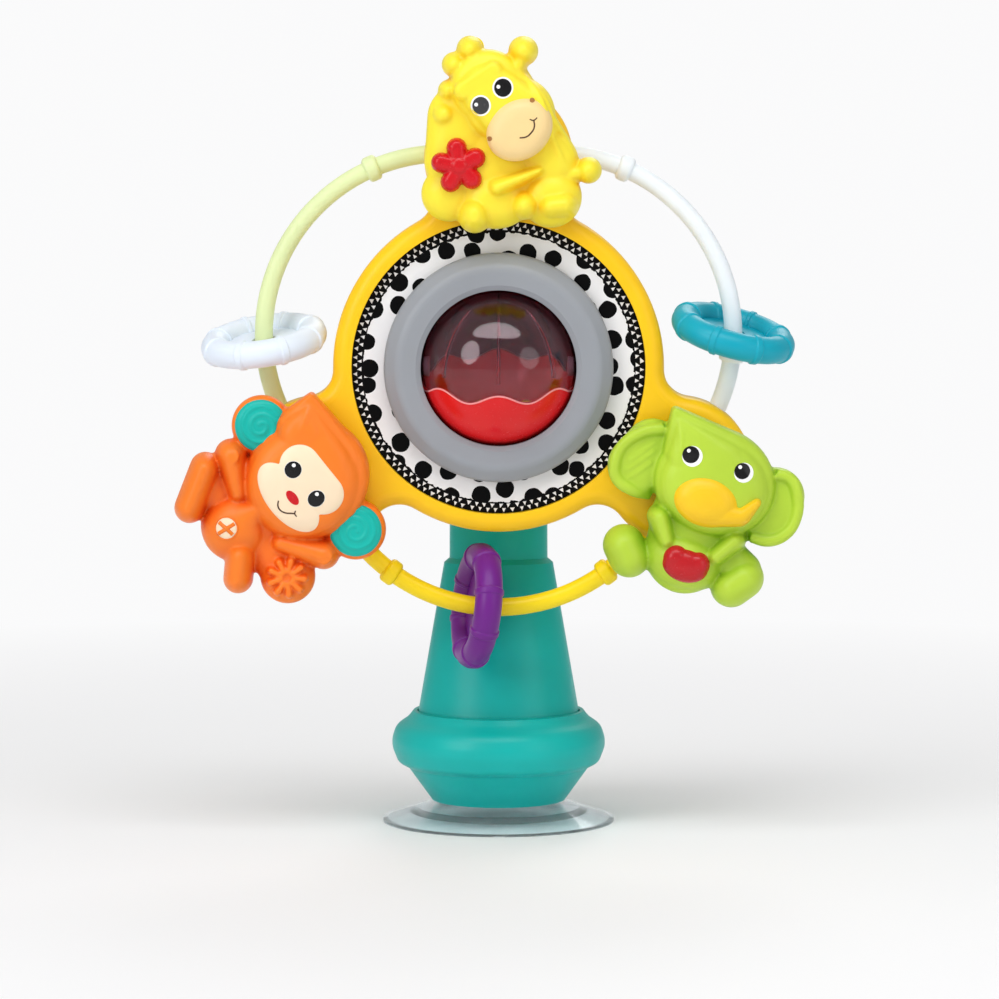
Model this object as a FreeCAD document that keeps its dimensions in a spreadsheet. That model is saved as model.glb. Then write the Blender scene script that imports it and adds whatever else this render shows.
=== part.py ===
"""Spinning ferris wheel toy on a suction base, as a parametric FreeCAD document.

Frame: millimetres, +Z up, origin at the centre of the suction cup's rim on the table.
The wheel faces -Y. Pieces of the wheel are drawn in the wheel's own frame, with x to
the right, y up and z forward out of the rod plane, and are then placed on the axle.
"""
import FreeCAD
import Part
import math
import os
import re
import Sketcher
from FreeCAD import Placement, Rotation, Vector

doc = FreeCAD.newDocument("FerrisWheelToy")
sheet = doc.addObject("Spreadsheet::Sheet", "dims")

DIMENSIONS = {
    # stand
    "hub_height": 150.0,
    "wheel_forward": 36.0,
    "play": 0.1,
    "running_gap": 0.05,
    "cup_radius": 37.5,
    "cup_rim_width": 2.0,
    "cup_rim_thickness": 0.9,
    "cup_height": 7.0,
    "cup_hollow": 4.9,
    "cup_shoulder_radius": 12.0,
    "cup_stem_radius": 6.0,
    "cup_button_radius": 8.5,
    "cup_button_thickness": 2.0,
    "clip_radius": 10.5,
    "clip_thickness": 1.2,
    "collar_radius": 35.0,
    "collar_foot_radius": 21.6,
    "collar_waist_radius": 29.3,
    "collar_neck_radius": 27.6,
    "collar_height": 29.0,
    "collar_wall": 2.4,
    "collar_floor": 1.6,
    "pillar_bottom": 18.0,
    "pillar_base_width": 52.6,
    "pillar_base_depth": 44.0,
    "pillar_step_height": 84.2,
    "pillar_step_width": 35.2,
    "pillar_step_depth": 22.8,
    "pillar_step_rise": 1.5,
    "pillar_step_inset": 1.75,
    "pillar_top_width": 31.2,
    "pillar_top_depth": 17.4,
    "pillar_wall": 2.4,
    "pillar_boss_radius": 3.2,
    "pillar_boss_spread": 9.0,
    "pillar_low_screw": 54.0,
    "pillar_high_screw": 120.0,
    "post_spread": 11.5,
    "post_depth_spread": 9.5,
    "bush_radius": 8.0,
    "bush_flange_radius": 10.0,
    "bush_flange": 1.2,
    "bush_boss_radius": 11.0,
    "bush_length": 8.0,
    # screws
    "screw_radius": 1.3,
    "screw_head_radius": 2.6,
    "screw_head_height": 1.8,
    "small_screw_radius": 0.9,
    "small_head_radius": 1.9,
    "small_head_height": 1.2,
    # wheel
    "hub_radius": 52.0,
    "lobe_pitch": 65.6,
    "lobe_radius": 23.3,
    "lobe_blend": 9.0,
    "front_depth": 11.0,
    "rear_depth": 9.0,
    "shell_wall": 2.2,
    "rim_round": 4.4,
    "disc_radius": 46.0,
    "disc_thickness": 0.8,
    "disc_face": 8.0,
    "bezel_radius": 36.0,
    "bezel_front": 16.0,
    "bezel_side": 4.2,
    "bezel_plateau_radius": 31.6,
    "bezel_skirt_radius": 32.2,
    "bezel_skirt_wall": 2.2,
    "bezel_skirt_end": 0.4,
    "window_radius": 24.4,
    "window_lip": 12.1,
    "bezel_screw_radius": 34.1,
    "wheel_screw_pitch": 58.0,
    "wheel_screw_angle": 8.0,
    "wheel_boss_radius": 3.0,
    # ball
    "ball_radius": 25.5,
    "ball_forward": 3.0,
    "ball_wall": 1.6,
    "ball_gap": 0.9,
    "ball_roll": 14.0,
    "bowl_wall": 2.2,
    "bowl_pad_radius": 10.0,
    "bowl_pad": 0.3,
    "axle_radius": 6.0,
    "washer_radius": 9.0,
    "washer_thickness": 1.2,
    "axle_screw_head": 4.0,
    "pin_radius": 2.0,
    "pin_head_radius": 3.2,
    "pin_head": 1.6,
    "bead_radius": 3.6,
    # rods and rings
    "rod_centre": 19.7,
    "rod_bend": 56.9,
    "rod_radius": 2.85,
    "rod_half_angle": 68.0,
    "rod_clamp_angle": 62.5,
    "knob_angle": 36.5,
    "knob_radius": 4.1,
    "knob_length": 4.6,
    "knob_bevel": 1.4,
    "ring_radius": 15.7,
    "ring_tube": 4.3,
    "ring_rib_height": 0.45,
    "ring_rib_width": 2.6,
    "ring_rib_count": 8,
    "ring_web": 1.2,
    "ring_hole": 3.7,
    # figures
    "figure_pitch": 76.2,
    "post_radius": 2.5,
    "post_head_radius": 4.6,
    "post_head": 1.5,
    "post_depth": 8.5,
    "friction_washer_radius": 7.0,
    "friction_washer": 1.2,
    "figure_gap": 0.3,
    "back_plate": 2.2,
    "back_inset": 0.7,
    "figure_wall": 1.8,
    "solid_form_radius": 6.0,
    "figure_hub_radius": 5.6,
    "figure_hub_height": 0.9,
    "figure_boss_radius": 2.6,
    "inlay_seat": 1.0,
}
for row, (alias, number) in enumerate(DIMENSIONS.items(), start=1):
    sheet.set("A%d" % row, alias)
    sheet.set("B%d" % row, str(number))
    sheet.setAlias("B%d" % row, alias)
doc.recompute()

ALIAS = re.compile(r"\b(%s)\b" % "|".join(DIMENSIONS))
LOBE_ANGLES = {"giraffe": 90.0, "monkey": 210.0, "elephant": 330.0}
ROD_ANGLES = {"rod_left": 150.0, "rod_bottom": 270.0, "rod_right": 30.0}


def dim(alias):
    """The number in the sheet's cell of that alias."""
    return float(sheet.get(alias))


def amount(expression):
    """The value of an arithmetic expression of aliases."""
    numbers = ALIAS.sub(lambda found: "(%r)" % dim(found.group()), str(expression))
    return FreeCAD.Units.Quantity(numbers).Value


def bound(expression):
    """The same expression as the sheet's cells are named in the document."""
    return ALIAS.sub(lambda found: "dims." + found.group(), str(expression))


def bind(item, **expressions):
    """Ties properties of a document object to expressions of the sheet."""
    for name, expression in expressions.items():
        item.setExpression(name, bound(expression))
    return item


def place(item, x="0", y="0", z="0", turn=None):
    """Gives an object an expression-bound position and a fixed turn."""
    levels = {"x": str(x), "y": str(y), "z": str(z)}
    fixed = [0.0 if ALIAS.search(level) else float(level) for level in levels.values()]
    item.Placement = Placement(Vector(*fixed), turn or Rotation())
    for axis, level in levels.items():
        if ALIAS.search(level):
            item.setExpression(".Placement.Base." + axis, bound(level))
    return item


FORWARD = Rotation(Vector(1, 0, 0), 90)
UPRIGHT = Rotation()
ALONG_X = Rotation(Vector(0, 1, 0), 90)
ALONG_Y = Rotation(Vector(1, 0, 0), -90)


def on_wheel(item):
    """Places a piece that is drawn in the wheel's frame."""
    return place(item, "0", "-wheel_forward", "hub_height", FORWARD)


WHEEL = Placement(Vector(0, -dim("wheel_forward"), dim("hub_height")), FORWARD)


# ---------------------------------------------------------------- document helpers

def cylinder(name, radius, height, x="0", y="0", z="0", turn=None):
    item = bind(doc.addObject("Part::Cylinder", name), Radius=radius, Height=height)
    return place(item, x, y, z, turn)


def sphere(name, radius, x="0", y="0", z="0"):
    return place(bind(doc.addObject("Part::Sphere", name), Radius=radius), x, y, z)


def box(name, length, width, height, x="0", y="0", z="0", turn=None):
    item = bind(doc.addObject("Part::Box", name), Length=length, Width=width, Height=height)
    return place(item, x, y, z, turn)


def fuse(name, items):
    item = doc.addObject("Part::MultiFuse", name)
    item.Shapes = items
    item.Refine = True
    return item


def cut(name, base, tools):
    item = doc.addObject("Part::Cut", name)
    item.Base = base
    item.Tool = tools[0] if len(tools) == 1 else fuse(name + "_tools", tools)
    return item


def common(name, first, second):
    item = doc.addObject("Part::MultiCommon", name)
    item.Shapes = [first, second]
    return item


def rounded(name, base, radius, chosen):
    """Fillets the edges of a base object for which chosen(edge) is true."""
    doc.recompute()
    edges = [n for n, edge in enumerate(base.Shape.Edges, start=1) if chosen(edge)]
    item = doc.addObject("Part::Fillet", name)
    item.Base = base
    item.Edges = [(n, amount(radius), amount(radius)) for n in edges]
    return item


def solid(name, shape):
    """A document object for a shape worked out in code."""
    item = doc.addObject("Part::Feature", name)
    item.Shape = shape
    return item


def origin_plane(body, role):
    return next(part for part in body.Origin.OriginFeatures if part.Role == role)


def turned(label, corners, rounds=()):
    """A PartDesign body: a profile of (radius, height) corners revolved about its Z axis.

    Each entry of rounds is (radius, height, fillet) and rounds the circular edge there.
    """
    body = doc.addObject("PartDesign::Body", label)
    sketch = body.newObject("Sketcher::SketchObject", label + "_profile")
    sketch.AttachmentSupport = (origin_plane(body, "XZ_Plane"), [""])
    sketch.MapMode = "FlatFace"
    points = [Vector(amount(radius), amount(height), 0) for radius, height in corners]
    count = len(points)
    for n in range(count):
        sketch.addGeometry(Part.LineSegment(points[n], points[(n + 1) % count]), False)
    for n in range(count):
        sketch.addConstraint(Sketcher.Constraint("Coincident", n, 2, (n + 1) % count, 1))
    for n, corner in enumerate(corners):
        for kind, expression in zip(("DistanceX", "DistanceY"), corner):
            number = amount(expression)
            index = sketch.addConstraint(Sketcher.Constraint(kind, -1, 1, n, 1, number))
            if ALIAS.search(str(expression)):
                sketch.setExpression("Constraints[%d]" % index, bound(expression))
    turn = body.newObject("PartDesign::Revolution", label + "_turn")
    turn.Profile = sketch
    turn.ReferenceAxis = (sketch, ["V_Axis"])
    turn.Angle = 360
    before = turn
    for n, (radius, height, fillet) in enumerate(rounds):
        doc.recompute()
        rim = amount(radius)
        level = amount(height)
        names = []
        for index, edge in enumerate(before.Shape.Edges, start=1):
            at = edge.BoundBox
            flat = abs(at.ZMin - level) < 0.001 and abs(at.ZMax - level) < 0.001
            if flat and abs(at.XMax - rim) < 0.001:
                names.append("Edge%d" % index)
        smooth = body.newObject("PartDesign::Fillet", "%s_round_%d" % (label, n))
        smooth.Base = (before, names)
        bind(smooth, Radius=fillet)
        before = smooth
    return body


def screw_shape(shank, length, head, head_height):
    """A pan-head screw along +Z: shank below the origin, head above it."""
    shape = Part.makeCylinder(shank, length, Vector(0, 0, -length))
    top = Part.makeCylinder(head, head_height)
    top = top.makeFillet(head_height * 0.4, [top.Edges[0]])
    slot = Part.makeBox(head * 1.2, head * 0.24, head_height * 0.5)
    slot.translate(Vector(-head * 0.6, -head * 0.12, head_height * 0.6))
    cross = slot.copy()
    cross.rotate(Vector(0, 0, 0), Vector(0, 0, 1), 90)
    return shape.fuse(top).cut(slot).cut(cross).removeSplitter()


def group(label, shapes):
    """One node that holds several separate solids."""
    return solid(label, Part.makeCompound(shapes))


def polar(radius, angle):
    return Vector(radius * math.cos(math.radians(angle)), radius * math.sin(math.radians(angle)), 0)


def spoke(radius, angle):
    """Expressions of the x and y of a point at an angle on a circle of the wheel."""
    return ("%s * cos(%g deg)" % (radius, angle), "%s * sin(%g deg)" % (radius, angle))


# ------------------------------------------------------------------------- stand

def build_suction_cup():
    cup = turned("suction_cup", [
        ("0", "cup_hollow"),
        ("cup_shoulder_radius", "cup_hollow - 0.4"),
        ("cup_radius * 0.76", "cup_hollow * 0.42"),
        ("cup_radius - cup_rim_width", "0"),
        ("cup_radius", "0"),
        ("cup_radius", "cup_rim_thickness"),
        ("cup_radius * 0.7", "cup_height * 0.66"),
        ("cup_shoulder_radius", "cup_height - play"),
        ("cup_stem_radius", "cup_height - play"),
        ("cup_stem_radius", "cup_height + collar_floor + clip_thickness + 2 * play"),
        ("cup_button_radius", "cup_height + collar_floor + clip_thickness + 2 * play"),
        ("cup_button_radius", "cup_height + collar_floor + clip_thickness + cup_button_thickness"),
        ("0", "cup_height + collar_floor + clip_thickness + cup_button_thickness"),
    ], [("cup_button_radius",
         "cup_height + collar_floor + clip_thickness + cup_button_thickness", "0.6")])
    clip = turned("cup_clip", [
        ("cup_stem_radius + play", "cup_height + collar_floor"),
        ("clip_radius", "cup_height + collar_floor"),
        ("clip_radius", "cup_height + collar_floor + clip_thickness"),
        ("cup_stem_radius + play", "cup_height + collar_floor + clip_thickness"),
    ])
    return [cup, clip]


def post_spots():
    return [(sx * dim("post_spread"), sy * dim("post_depth_spread"))
            for sx in (-1, 1) for sy in (-1, 1)]


def build_base_collar():
    """Bulging collar and foot under the pillar, hollow, with four screw posts."""
    top = "cup_height + collar_height"
    bulge = "cup_height + collar_height * 0.64"
    shoulder = "cup_height + collar_height * 0.83"
    lower_edge = "cup_height + collar_height * 0.43"
    flare = "cup_height + collar_height * 0.92"
    shell = turned("collar_shell", [
        ("cup_stem_radius + play", "cup_height"),
        ("collar_foot_radius", "cup_height"),
        ("collar_waist_radius", "cup_height + collar_height * 0.37"),
        ("collar_radius - 2.4", lower_edge),
        ("collar_radius", bulge),
        ("collar_radius - 1.8", shoulder),
        ("collar_neck_radius + 1.8", flare),
        ("collar_neck_radius", top),
        ("0", top),
        ("0", top + " - collar_wall"),
        ("collar_neck_radius - collar_wall", top + " - collar_wall"),
        ("collar_radius - collar_wall - 1.8", "cup_height + collar_height * 0.76"),
        ("collar_radius - collar_wall - 0.6", bulge),
        ("collar_waist_radius - collar_wall", "cup_height + collar_height * 0.35"),
        ("collar_foot_radius - collar_wall", "cup_height + collar_floor"),
        ("cup_stem_radius + play", "cup_height + collar_floor"),
    ], [("collar_radius - 2.4", lower_edge, "3"), ("collar_radius", bulge, "8"),
        ("collar_radius - 1.8", shoulder, "5"), ("collar_neck_radius + 1.8", flare, "7")])
    throat = place(bind(doc.addObject("Part::Ellipse", "collar_throat"),
                        MajorRadius="pillar_base_width / 2 + play",
                        MinorRadius="pillar_base_depth / 2 + play"), z="pillar_bottom")
    throat_cut = doc.addObject("Part::Extrusion", "collar_throat_cut")
    throat_cut.Base = throat
    throat_cut.Dir = Vector(0, 0, 1)
    throat_cut.Solid = True
    bind(throat_cut, LengthFwd="collar_height + cup_height")
    posts = []
    holes = [throat_cut]
    for n, (x, y) in enumerate(post_spots()):
        sx, sy = math.copysign(1, x), math.copysign(1, y)
        at = ("%g * post_spread" % sx, "%g * post_depth_spread" % sy)
        posts.append(cylinder("collar_post_%d" % n, "pillar_boss_radius",
                              "pillar_bottom - cup_height - collar_floor + 0.5",
                              at[0], at[1], "cup_height + collar_floor - 0.5"))
        holes.append(cylinder("collar_post_hole_%d" % n, "screw_radius + play",
                              "pillar_bottom", at[0], at[1], "cup_height - 1"))
        holes.append(cylinder("collar_head_hole_%d" % n, "screw_head_radius + play",
                              "screw_head_height + 0.2 + 1", at[0], at[1], "cup_height - 1"))
    return cut("base_collar", fuse("collar_solid", [shell] + posts), holes)


def half_section(width, depth, level, side, wall, past):
    """Closed wire of half an ellipse on one side of y = 0, its chord moved past that plane."""
    long = amount(width) / 2 - wall
    short = amount(depth) / 2 - wall
    arc = Part.Arc(Part.Ellipse(Vector(0, 0, amount(level)), long, short), 0, math.pi).toShape()
    right, left = Vector(long, 0, amount(level)), Vector(-long, 0, amount(level))
    edges = [arc]
    if past:
        down = Vector(0, -past, 0)
        edges += [Part.makeLine(left, left + down), Part.makeLine(left + down, right + down),
                  Part.makeLine(right + down, right)]
    else:
        edges.append(Part.makeLine(left, right))
    wire = Part.Wire(edges)
    if side < 0:
        wire.rotate(Vector(), Vector(0, 0, 1), 180)
    return wire


def pillar_half(side, wall=0.0, past=0.0):
    """Front (-1) or rear (1) half of the pillar's form, tapering up to a round head."""
    inset = " - 2 * pillar_step_inset"
    stations = [
        ("pillar_base_width", "pillar_base_depth", "pillar_bottom + %g" % wall),
        ("pillar_base_width", "pillar_base_depth", "cup_height + collar_height - 2"),
        ("pillar_step_width", "pillar_step_depth", "pillar_step_height"),
        ("pillar_step_width" + inset, "pillar_step_depth" + inset, "pillar_step_height + pillar_step_rise"),
        ("pillar_top_width", "pillar_top_depth", "hub_height"),
    ]
    sections = [half_section(*station, side, wall, past) for station in stations]
    form = Part.makeLoft(sections, True, True)
    width, depth = dim("pillar_top_width") / 2 - wall, dim("pillar_top_depth") / 2 - wall
    head = Part.makeSphere(1.0, Vector(), Vector(0, 0, 1), 0, 90, 360 if past else 180)
    head.rotate(Vector(), Vector(0, 0, 1), 90 if past else (180 if side < 0 else 0))
    scale = FreeCAD.Matrix()
    scale.scale(width, depth, width)
    head = head.transformGeometry(scale)
    head.translate(Vector(0, 0, dim("hub_height")))
    return form.fuse(head)


PILLAR_SCREWS = [(side, level) for side in (-1, 1) for level in ("pillar_low_screw", "pillar_high_screw")]


def build_pillar():
    """Front and rear shells of the pillar, split at y = 0, with bosses for their screws."""
    shells = []
    for half, sign in (("front", -1), ("rear", 1)):
        depth = "pillar_base_depth"
        side = "0" if sign > 0 else "-%s" % depth
        outer = solid("pillar_%s_form" % half, pillar_half(sign))
        inner = solid("pillar_%s_cavity" % half, pillar_half(sign, dim("pillar_wall"), 1.0))
        skin = cut("pillar_%s_skin" % half, outer, [inner])
        bosses = []
        holes = []
        for n, (edge, level) in enumerate(PILLAR_SCREWS):
            at = ("%d * pillar_boss_spread" % edge, side, level)
            bosses.append(cylinder("pillar_%s_boss_%d" % (half, n), "pillar_boss_radius", depth,
                                   at[0], at[1], at[2], ALONG_Y))
            tight = "play" if sign > 0 else "running_gap"
            holes.append(cylinder("pillar_%s_hole_%d" % (half, n), "screw_radius + " + tight,
                                  "6 + play", at[0], "0" if sign > 0 else "-6 - play", at[2], ALONG_Y))
            if sign > 0:
                holes.append(cylinder("pillar_rear_head_%d" % n, "screw_head_radius + play",
                                      depth, at[0], "4", at[2], ALONG_Y))
        for n, spread in enumerate((-1, 1)):
            bosses.append(cylinder("pillar_%s_foot_boss_%d" % (half, n), "pillar_boss_radius",
                                   "12", "%d * post_spread" % spread,
                                   "%d * post_depth_spread" % sign, "pillar_bottom"))
            holes.append(cylinder("pillar_%s_foot_hole_%d" % (half, n), "screw_radius + running_gap",
                                  "11", "%d * post_spread" % spread,
                                  "%d * post_depth_spread" % sign, "pillar_bottom - 1"))
        inside = common("pillar_%s_bosses" % half, fuse("pillar_%s_boss_set" % half, bosses), outer)
        parts = [skin, inside]
        if sign < 0:
            parts.append(cylinder("pillar_bush_boss", "bush_boss_radius", "bush_length - bush_flange - 0.6",
                                  "0", axle_at("bush_front") + " + bush_flange", "hub_height", ALONG_Y))
            holes.append(cylinder("pillar_bush_seat", "bush_flange_radius + play", "bush_flange + 4",
                                  "0", axle_at("bush_front") + " - 4", "hub_height", ALONG_Y))
            holes.append(cylinder("pillar_bush_bore", "bush_radius + running_gap", "bush_length + 4",
                                  "0", axle_at("bush_front") + " - 2", "hub_height", ALONG_Y))
        shells.append(cut("pillar_%s_shell" % half, fuse("pillar_%s_solid" % half, parts), holes))
    return shells


def axle_at(place_name):
    """World y of the levels along the axle, from the wheel forwards to the pillar."""
    pad = "-wheel_forward - ball_forward + ball_radius + ball_gap + bowl_wall + bowl_pad"
    levels = {
        "pad": pad,
        "bush_front": pad + " + play",
        "bush_end": pad + " + play + bush_length",
        "axle_end": pad + " + 3 * play + bush_length",
        "washer_end": pad + " + 3 * play + bush_length + washer_thickness",
    }
    return levels[place_name]


def build_axle_parts():
    """Bush in the pillar, and the washer and screw that keep the wheel's axle in it."""
    bush = turned("pillar_bush", [
        ("axle_radius + running_gap", "0"),
        ("bush_flange_radius", "0"),
        ("bush_flange_radius", "bush_flange"),
        ("bush_radius", "bush_flange"),
        ("bush_radius", "bush_length"),
        ("axle_radius + running_gap", "bush_length"),
    ])
    place(bush, "0", axle_at("bush_front"), "hub_height", ALONG_Y)
    washer = turned("axle_washer", [
        ("screw_radius + play", "0"),
        ("washer_radius", "0"),
        ("washer_radius", "washer_thickness"),
        ("screw_radius + play", "washer_thickness"),
    ])
    place(washer, "0", axle_at("axle_end"), "hub_height", ALONG_Y)
    screw = screw_shape(dim("screw_radius"), 9.0, dim("axle_screw_head"), dim("screw_head_height"))
    axle_screw = solid("axle_screw", screw)
    place(axle_screw, "0", axle_at("washer_end"), "hub_height", ALONG_Y)
    return [bush, washer, axle_screw]


def build_stand_screws():
    """Screws of the two pillar shells, and the longer ones up through the foot."""
    pillar = []
    for edge, level in PILLAR_SCREWS:
        screw = screw_shape(dim("screw_radius"), 4.0 + 5.5, dim("screw_head_radius"), dim("screw_head_height"))
        screw.Placement = Placement(Vector(edge * dim("pillar_boss_spread"), 4.0, dim(level)), ALONG_Y)
        pillar.append(screw)
    foot = []
    for x, y in post_spots():
        length = dim("pillar_bottom") - dim("cup_height") - dim("screw_head_height") + 9.0
        screw = screw_shape(dim("screw_radius"), length, dim("screw_head_radius"), dim("screw_head_height"))
        at = Vector(x, y, dim("cup_height") + dim("screw_head_height") + 0.2)
        screw.Placement = Placement(at, Rotation(Vector(1, 0, 0), 180))
        foot.append(screw)
    return [group("pillar_screws", pillar), group("foot_screws", foot)]


# ------------------------------------------------------------------------- wheel

def wheel_blank(name, inset, low, high):
    """Round hub with three lobes between two levels, its inner corners blended."""
    height = "(%s) - (%s)" % (high, low)
    parts = [cylinder(name + "_hub", "hub_radius - (%s)" % inset, height, z=low)]
    for figure, angle in LOBE_ANGLES.items():
        x, y = spoke("lobe_pitch", angle)
        parts.append(cylinder("%s_%s_lobe" % (name, figure), "lobe_radius - (%s)" % inset,
                              height, x, y, low))
    rough = fuse(name + "_rough", parts)
    hub = amount("hub_radius - (%s)" % inset)

    def inner_corner(edge):
        box_of = edge.BoundBox
        upright = box_of.ZLength > 0.5 and box_of.XLength < 0.01 and box_of.YLength < 0.01
        return upright and abs(math.hypot(box_of.XMin, box_of.YMin) - hub) < 0.05

    return rounded(name, rough, "lobe_blend", inner_corner)


def at_level(level, radius_over=None):
    """Test for edges that lie flat at one level, outside a radius if one is given."""
    height = amount(level)
    limit = amount(radius_over) if radius_over else 0.0

    def chosen(edge):
        box_of = edge.BoundBox
        flat = abs(box_of.ZMin - height) < 0.001 and abs(box_of.ZMax - height) < 0.001
        middle = edge.valueAt((edge.FirstParameter + edge.LastParameter) / 2)
        return flat and math.hypot(middle.x, middle.y) > limit

    return chosen


def wheel_screw_spots():
    spots = []
    for angle in LOBE_ANGLES.values():
        for side in (-1, 1):
            spots.append((angle, side))
    return spots


def screw_spoke(angle, side):
    turn = "(%g + %g * wheel_screw_angle) * 1 deg" % (angle, side)
    return ("wheel_screw_pitch * cos(%s)" % turn, "wheel_screw_pitch * sin(%s)" % turn)


def on_rod(middle, angle):
    """Point of the rod whose middle lies at one angle, at another angle about its bend."""
    return polar(dim("rod_centre"), middle) + polar(dim("rod_bend"), angle)


def rod_saddles(name, low, high):
    """Blocks in each lobe that clamp the ends of the rods."""
    blocks = []
    for middle in ROD_ANGLES.values():
        for side in (-1, 1):
            turn = middle + side * dim("rod_clamp_angle")
            at = on_rod(middle, turn)
            block = Part.makeBox(9.0, 7.6, amount("(%s) - (%s)" % (high, low)), Vector(-4.5, -3.8, 0))
            block.Placement = Placement(Vector(at.x, at.y, amount(low)), Rotation(Vector(0, 0, 1), turn))
            blocks.append(block)
    return solid(name, Part.makeCompound(blocks))


def rod_arc(name, middle, radius, sweep, about=0.0):
    """Length of round bar along a rod's bend, its own middle at an angle from the rod's."""
    item = bind(doc.addObject("Part::Torus", name), Radius1="rod_bend", Radius2=radius, Angle3=sweep)
    x, y = spoke("rod_centre", middle)
    return place(item, x, y, "0", Rotation(Vector(0, 0, 1), middle + about - amount(sweep) / 2))


def rod_channels(name):
    """Room for the three rods, a little longer than they are."""
    return [rod_arc("%s_%s" % (name, label), middle, "rod_radius + running_gap", "2 * rod_half_angle + 1")
            for label, middle in ROD_ANGLES.items()]


def build_front_shell():
    """Yellow front shell: rim, lobes, recess for the printed disc, window for the bezel."""
    blank = wheel_blank("front_blank", "0", "0", "front_depth")
    skin = rounded("front_form", blank, "rim_round", at_level("front_depth"))
    ceiling = "front_depth - shell_wall - 0.4"
    floor = "disc_face - disc_thickness - shell_wall"
    room = wheel_blank("front_room", "shell_wall", "-1", ceiling)
    keep = cylinder("front_floor", "disc_radius + play + shell_wall", "front_depth", z=floor)
    holes = [cut("front_cavity", room, [keep]),
             cylinder("front_recess", "disc_radius + play", "front_depth",
                      z="disc_face - disc_thickness"),
             cylinder("front_window", "bezel_skirt_radius + play", "front_depth * 3", z="-front_depth")]
    holes += rod_channels("front_channel")
    parts = []
    for n, (angle, side) in enumerate(wheel_screw_spots()):
        x, y = screw_spoke(angle, side)
        parts.append(cylinder("front_boss_%d" % n, "wheel_boss_radius", ceiling + " + 0.2", x, y))
        holes.append(cylinder("front_boss_hole_%d" % n, "screw_radius + running_gap",
                              "front_depth - shell_wall - 1.5", x, y, "-0.5"))
    for n, angle in enumerate(LOBE_ANGLES.values()):
        x, y = spoke("figure_pitch", angle)
        parts.append(cylinder("front_post_boss_%d" % n, "post_radius + 2.4", ceiling + " + 0.2", x, y))
        holes.append(cylinder("front_post_hole_%d" % n, "post_radius + running_gap",
                              "post_depth + 1", x, y, "front_depth - post_depth - play"))
    for n in range(3):
        x, y = spoke("bezel_screw_radius", 30 + 120 * n)
        holes.append(cylinder("front_bezel_hole_%d" % n, "small_screw_radius + play",
                              "shell_wall + 2", x, y, floor + " - 1"))
    hollow = cut("front_hollow", skin, holes[:3])
    filled = fuse("front_filled", [hollow, rod_saddles("front_saddles", "0", ceiling + " + 0.2")] + parts)
    return on_wheel(cut("wheel_front_shell", filled, holes[3:]))


def build_rear_shell():
    """Yellow rear shell with the ball's bowl and the axle that turns in the pillar."""
    blank = wheel_blank("rear_blank", "0", "-rear_depth", "0")
    skin = rounded("rear_form", blank, "rim_round", at_level("-rear_depth"))
    floor = "-rear_depth + shell_wall + 0.3"
    room = wheel_blank("rear_room", "shell_wall", floor, "1")
    bowl_out = sphere("bowl_outside", "ball_radius + ball_gap + bowl_wall", z="ball_forward")
    bowl_top = box("bowl_top", "hub_radius * 2", "hub_radius * 2", "hub_radius",
                   "-hub_radius", "-hub_radius", "ball_forward")
    pad_level = "ball_forward - ball_radius - ball_gap - bowl_wall - bowl_pad"
    pad = cylinder("bowl_rear_pad", "bowl_pad_radius", "6", z=pad_level)
    axle_length = "bush_length + 3 * play"
    axle = cylinder("wheel_axle", "axle_radius", axle_length + " + 1", z=pad_level + " - (%s)" % axle_length)
    bowl = cut("bowl_solid", fuse("bowl_outer", [bowl_out, pad, axle]), [bowl_top])
    holes = [sphere("bowl_inside", "ball_radius + ball_gap", z="ball_forward"),
             cylinder("ball_bearing_bore", "pin_radius + running_gap", "hub_radius * 1.3",
                      "-hub_radius * 0.65", "0", "ball_forward", ALONG_X),
             cylinder("axle_pilot", "screw_radius + running_gap", axle_length + " + 0.6",
                      z=pad_level + " - (%s) - 0.1" % axle_length)]
    holes += rod_channels("rear_channel")
    parts = [bowl]
    for n, (angle, side) in enumerate(wheel_screw_spots()):
        x, y = screw_spoke(angle, side)
        parts.append(cylinder("rear_boss_%d" % n, "wheel_boss_radius + 0.8", "rear_depth - 1",
                              x, y, "-rear_depth + 1"))
        holes.append(cylinder("rear_boss_hole_%d" % n, "screw_radius + play", "rear_depth * 2",
                              x, y, "-rear_depth * 1.5"))
        holes.append(cylinder("rear_head_hole_%d" % n, "screw_head_radius + play",
                              "screw_head_height + 0.4 + 4", x, y, "-rear_depth - 4"))
    hollow = cut("rear_hollow", skin, [room])
    filled = fuse("rear_filled", [hollow, rod_saddles("rear_saddles", floor + " - 0.2", "0")] + parts)
    return on_wheel(cut("wheel_rear_shell", filled, holes))


def build_wheel_screws():
    depth = dim("rear_depth") - dim("screw_head_height") - 0.4
    screws = []
    for angle, side in wheel_screw_spots():
        at = polar(dim("wheel_screw_pitch"), angle + side * dim("wheel_screw_angle"))
        screw = screw_shape(dim("screw_radius"), depth + 6.5, dim("screw_head_radius"), dim("screw_head_height"))
        screw.Placement = WHEEL.multiply(Placement(Vector(at.x, at.y, -depth), Rotation(Vector(1, 0, 0), 180)))
        screws.append(screw)
    small = []
    floor = dim("disc_face") - dim("disc_thickness") - dim("shell_wall")
    for n in range(3):
        at = polar(dim("bezel_screw_radius"), 30 + 120 * n)
        length = dim("shell_wall") + dim("disc_thickness") + 3.0
        screw = screw_shape(dim("small_screw_radius"), length, dim("small_head_radius"), dim("small_head_height"))
        screw.Placement = WHEEL.multiply(Placement(Vector(at.x, at.y, floor), Rotation(Vector(1, 0, 0), 180)))
        small.append(screw)
    return [group("wheel_screws", screws), group("bezel_screws", small)]


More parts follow.
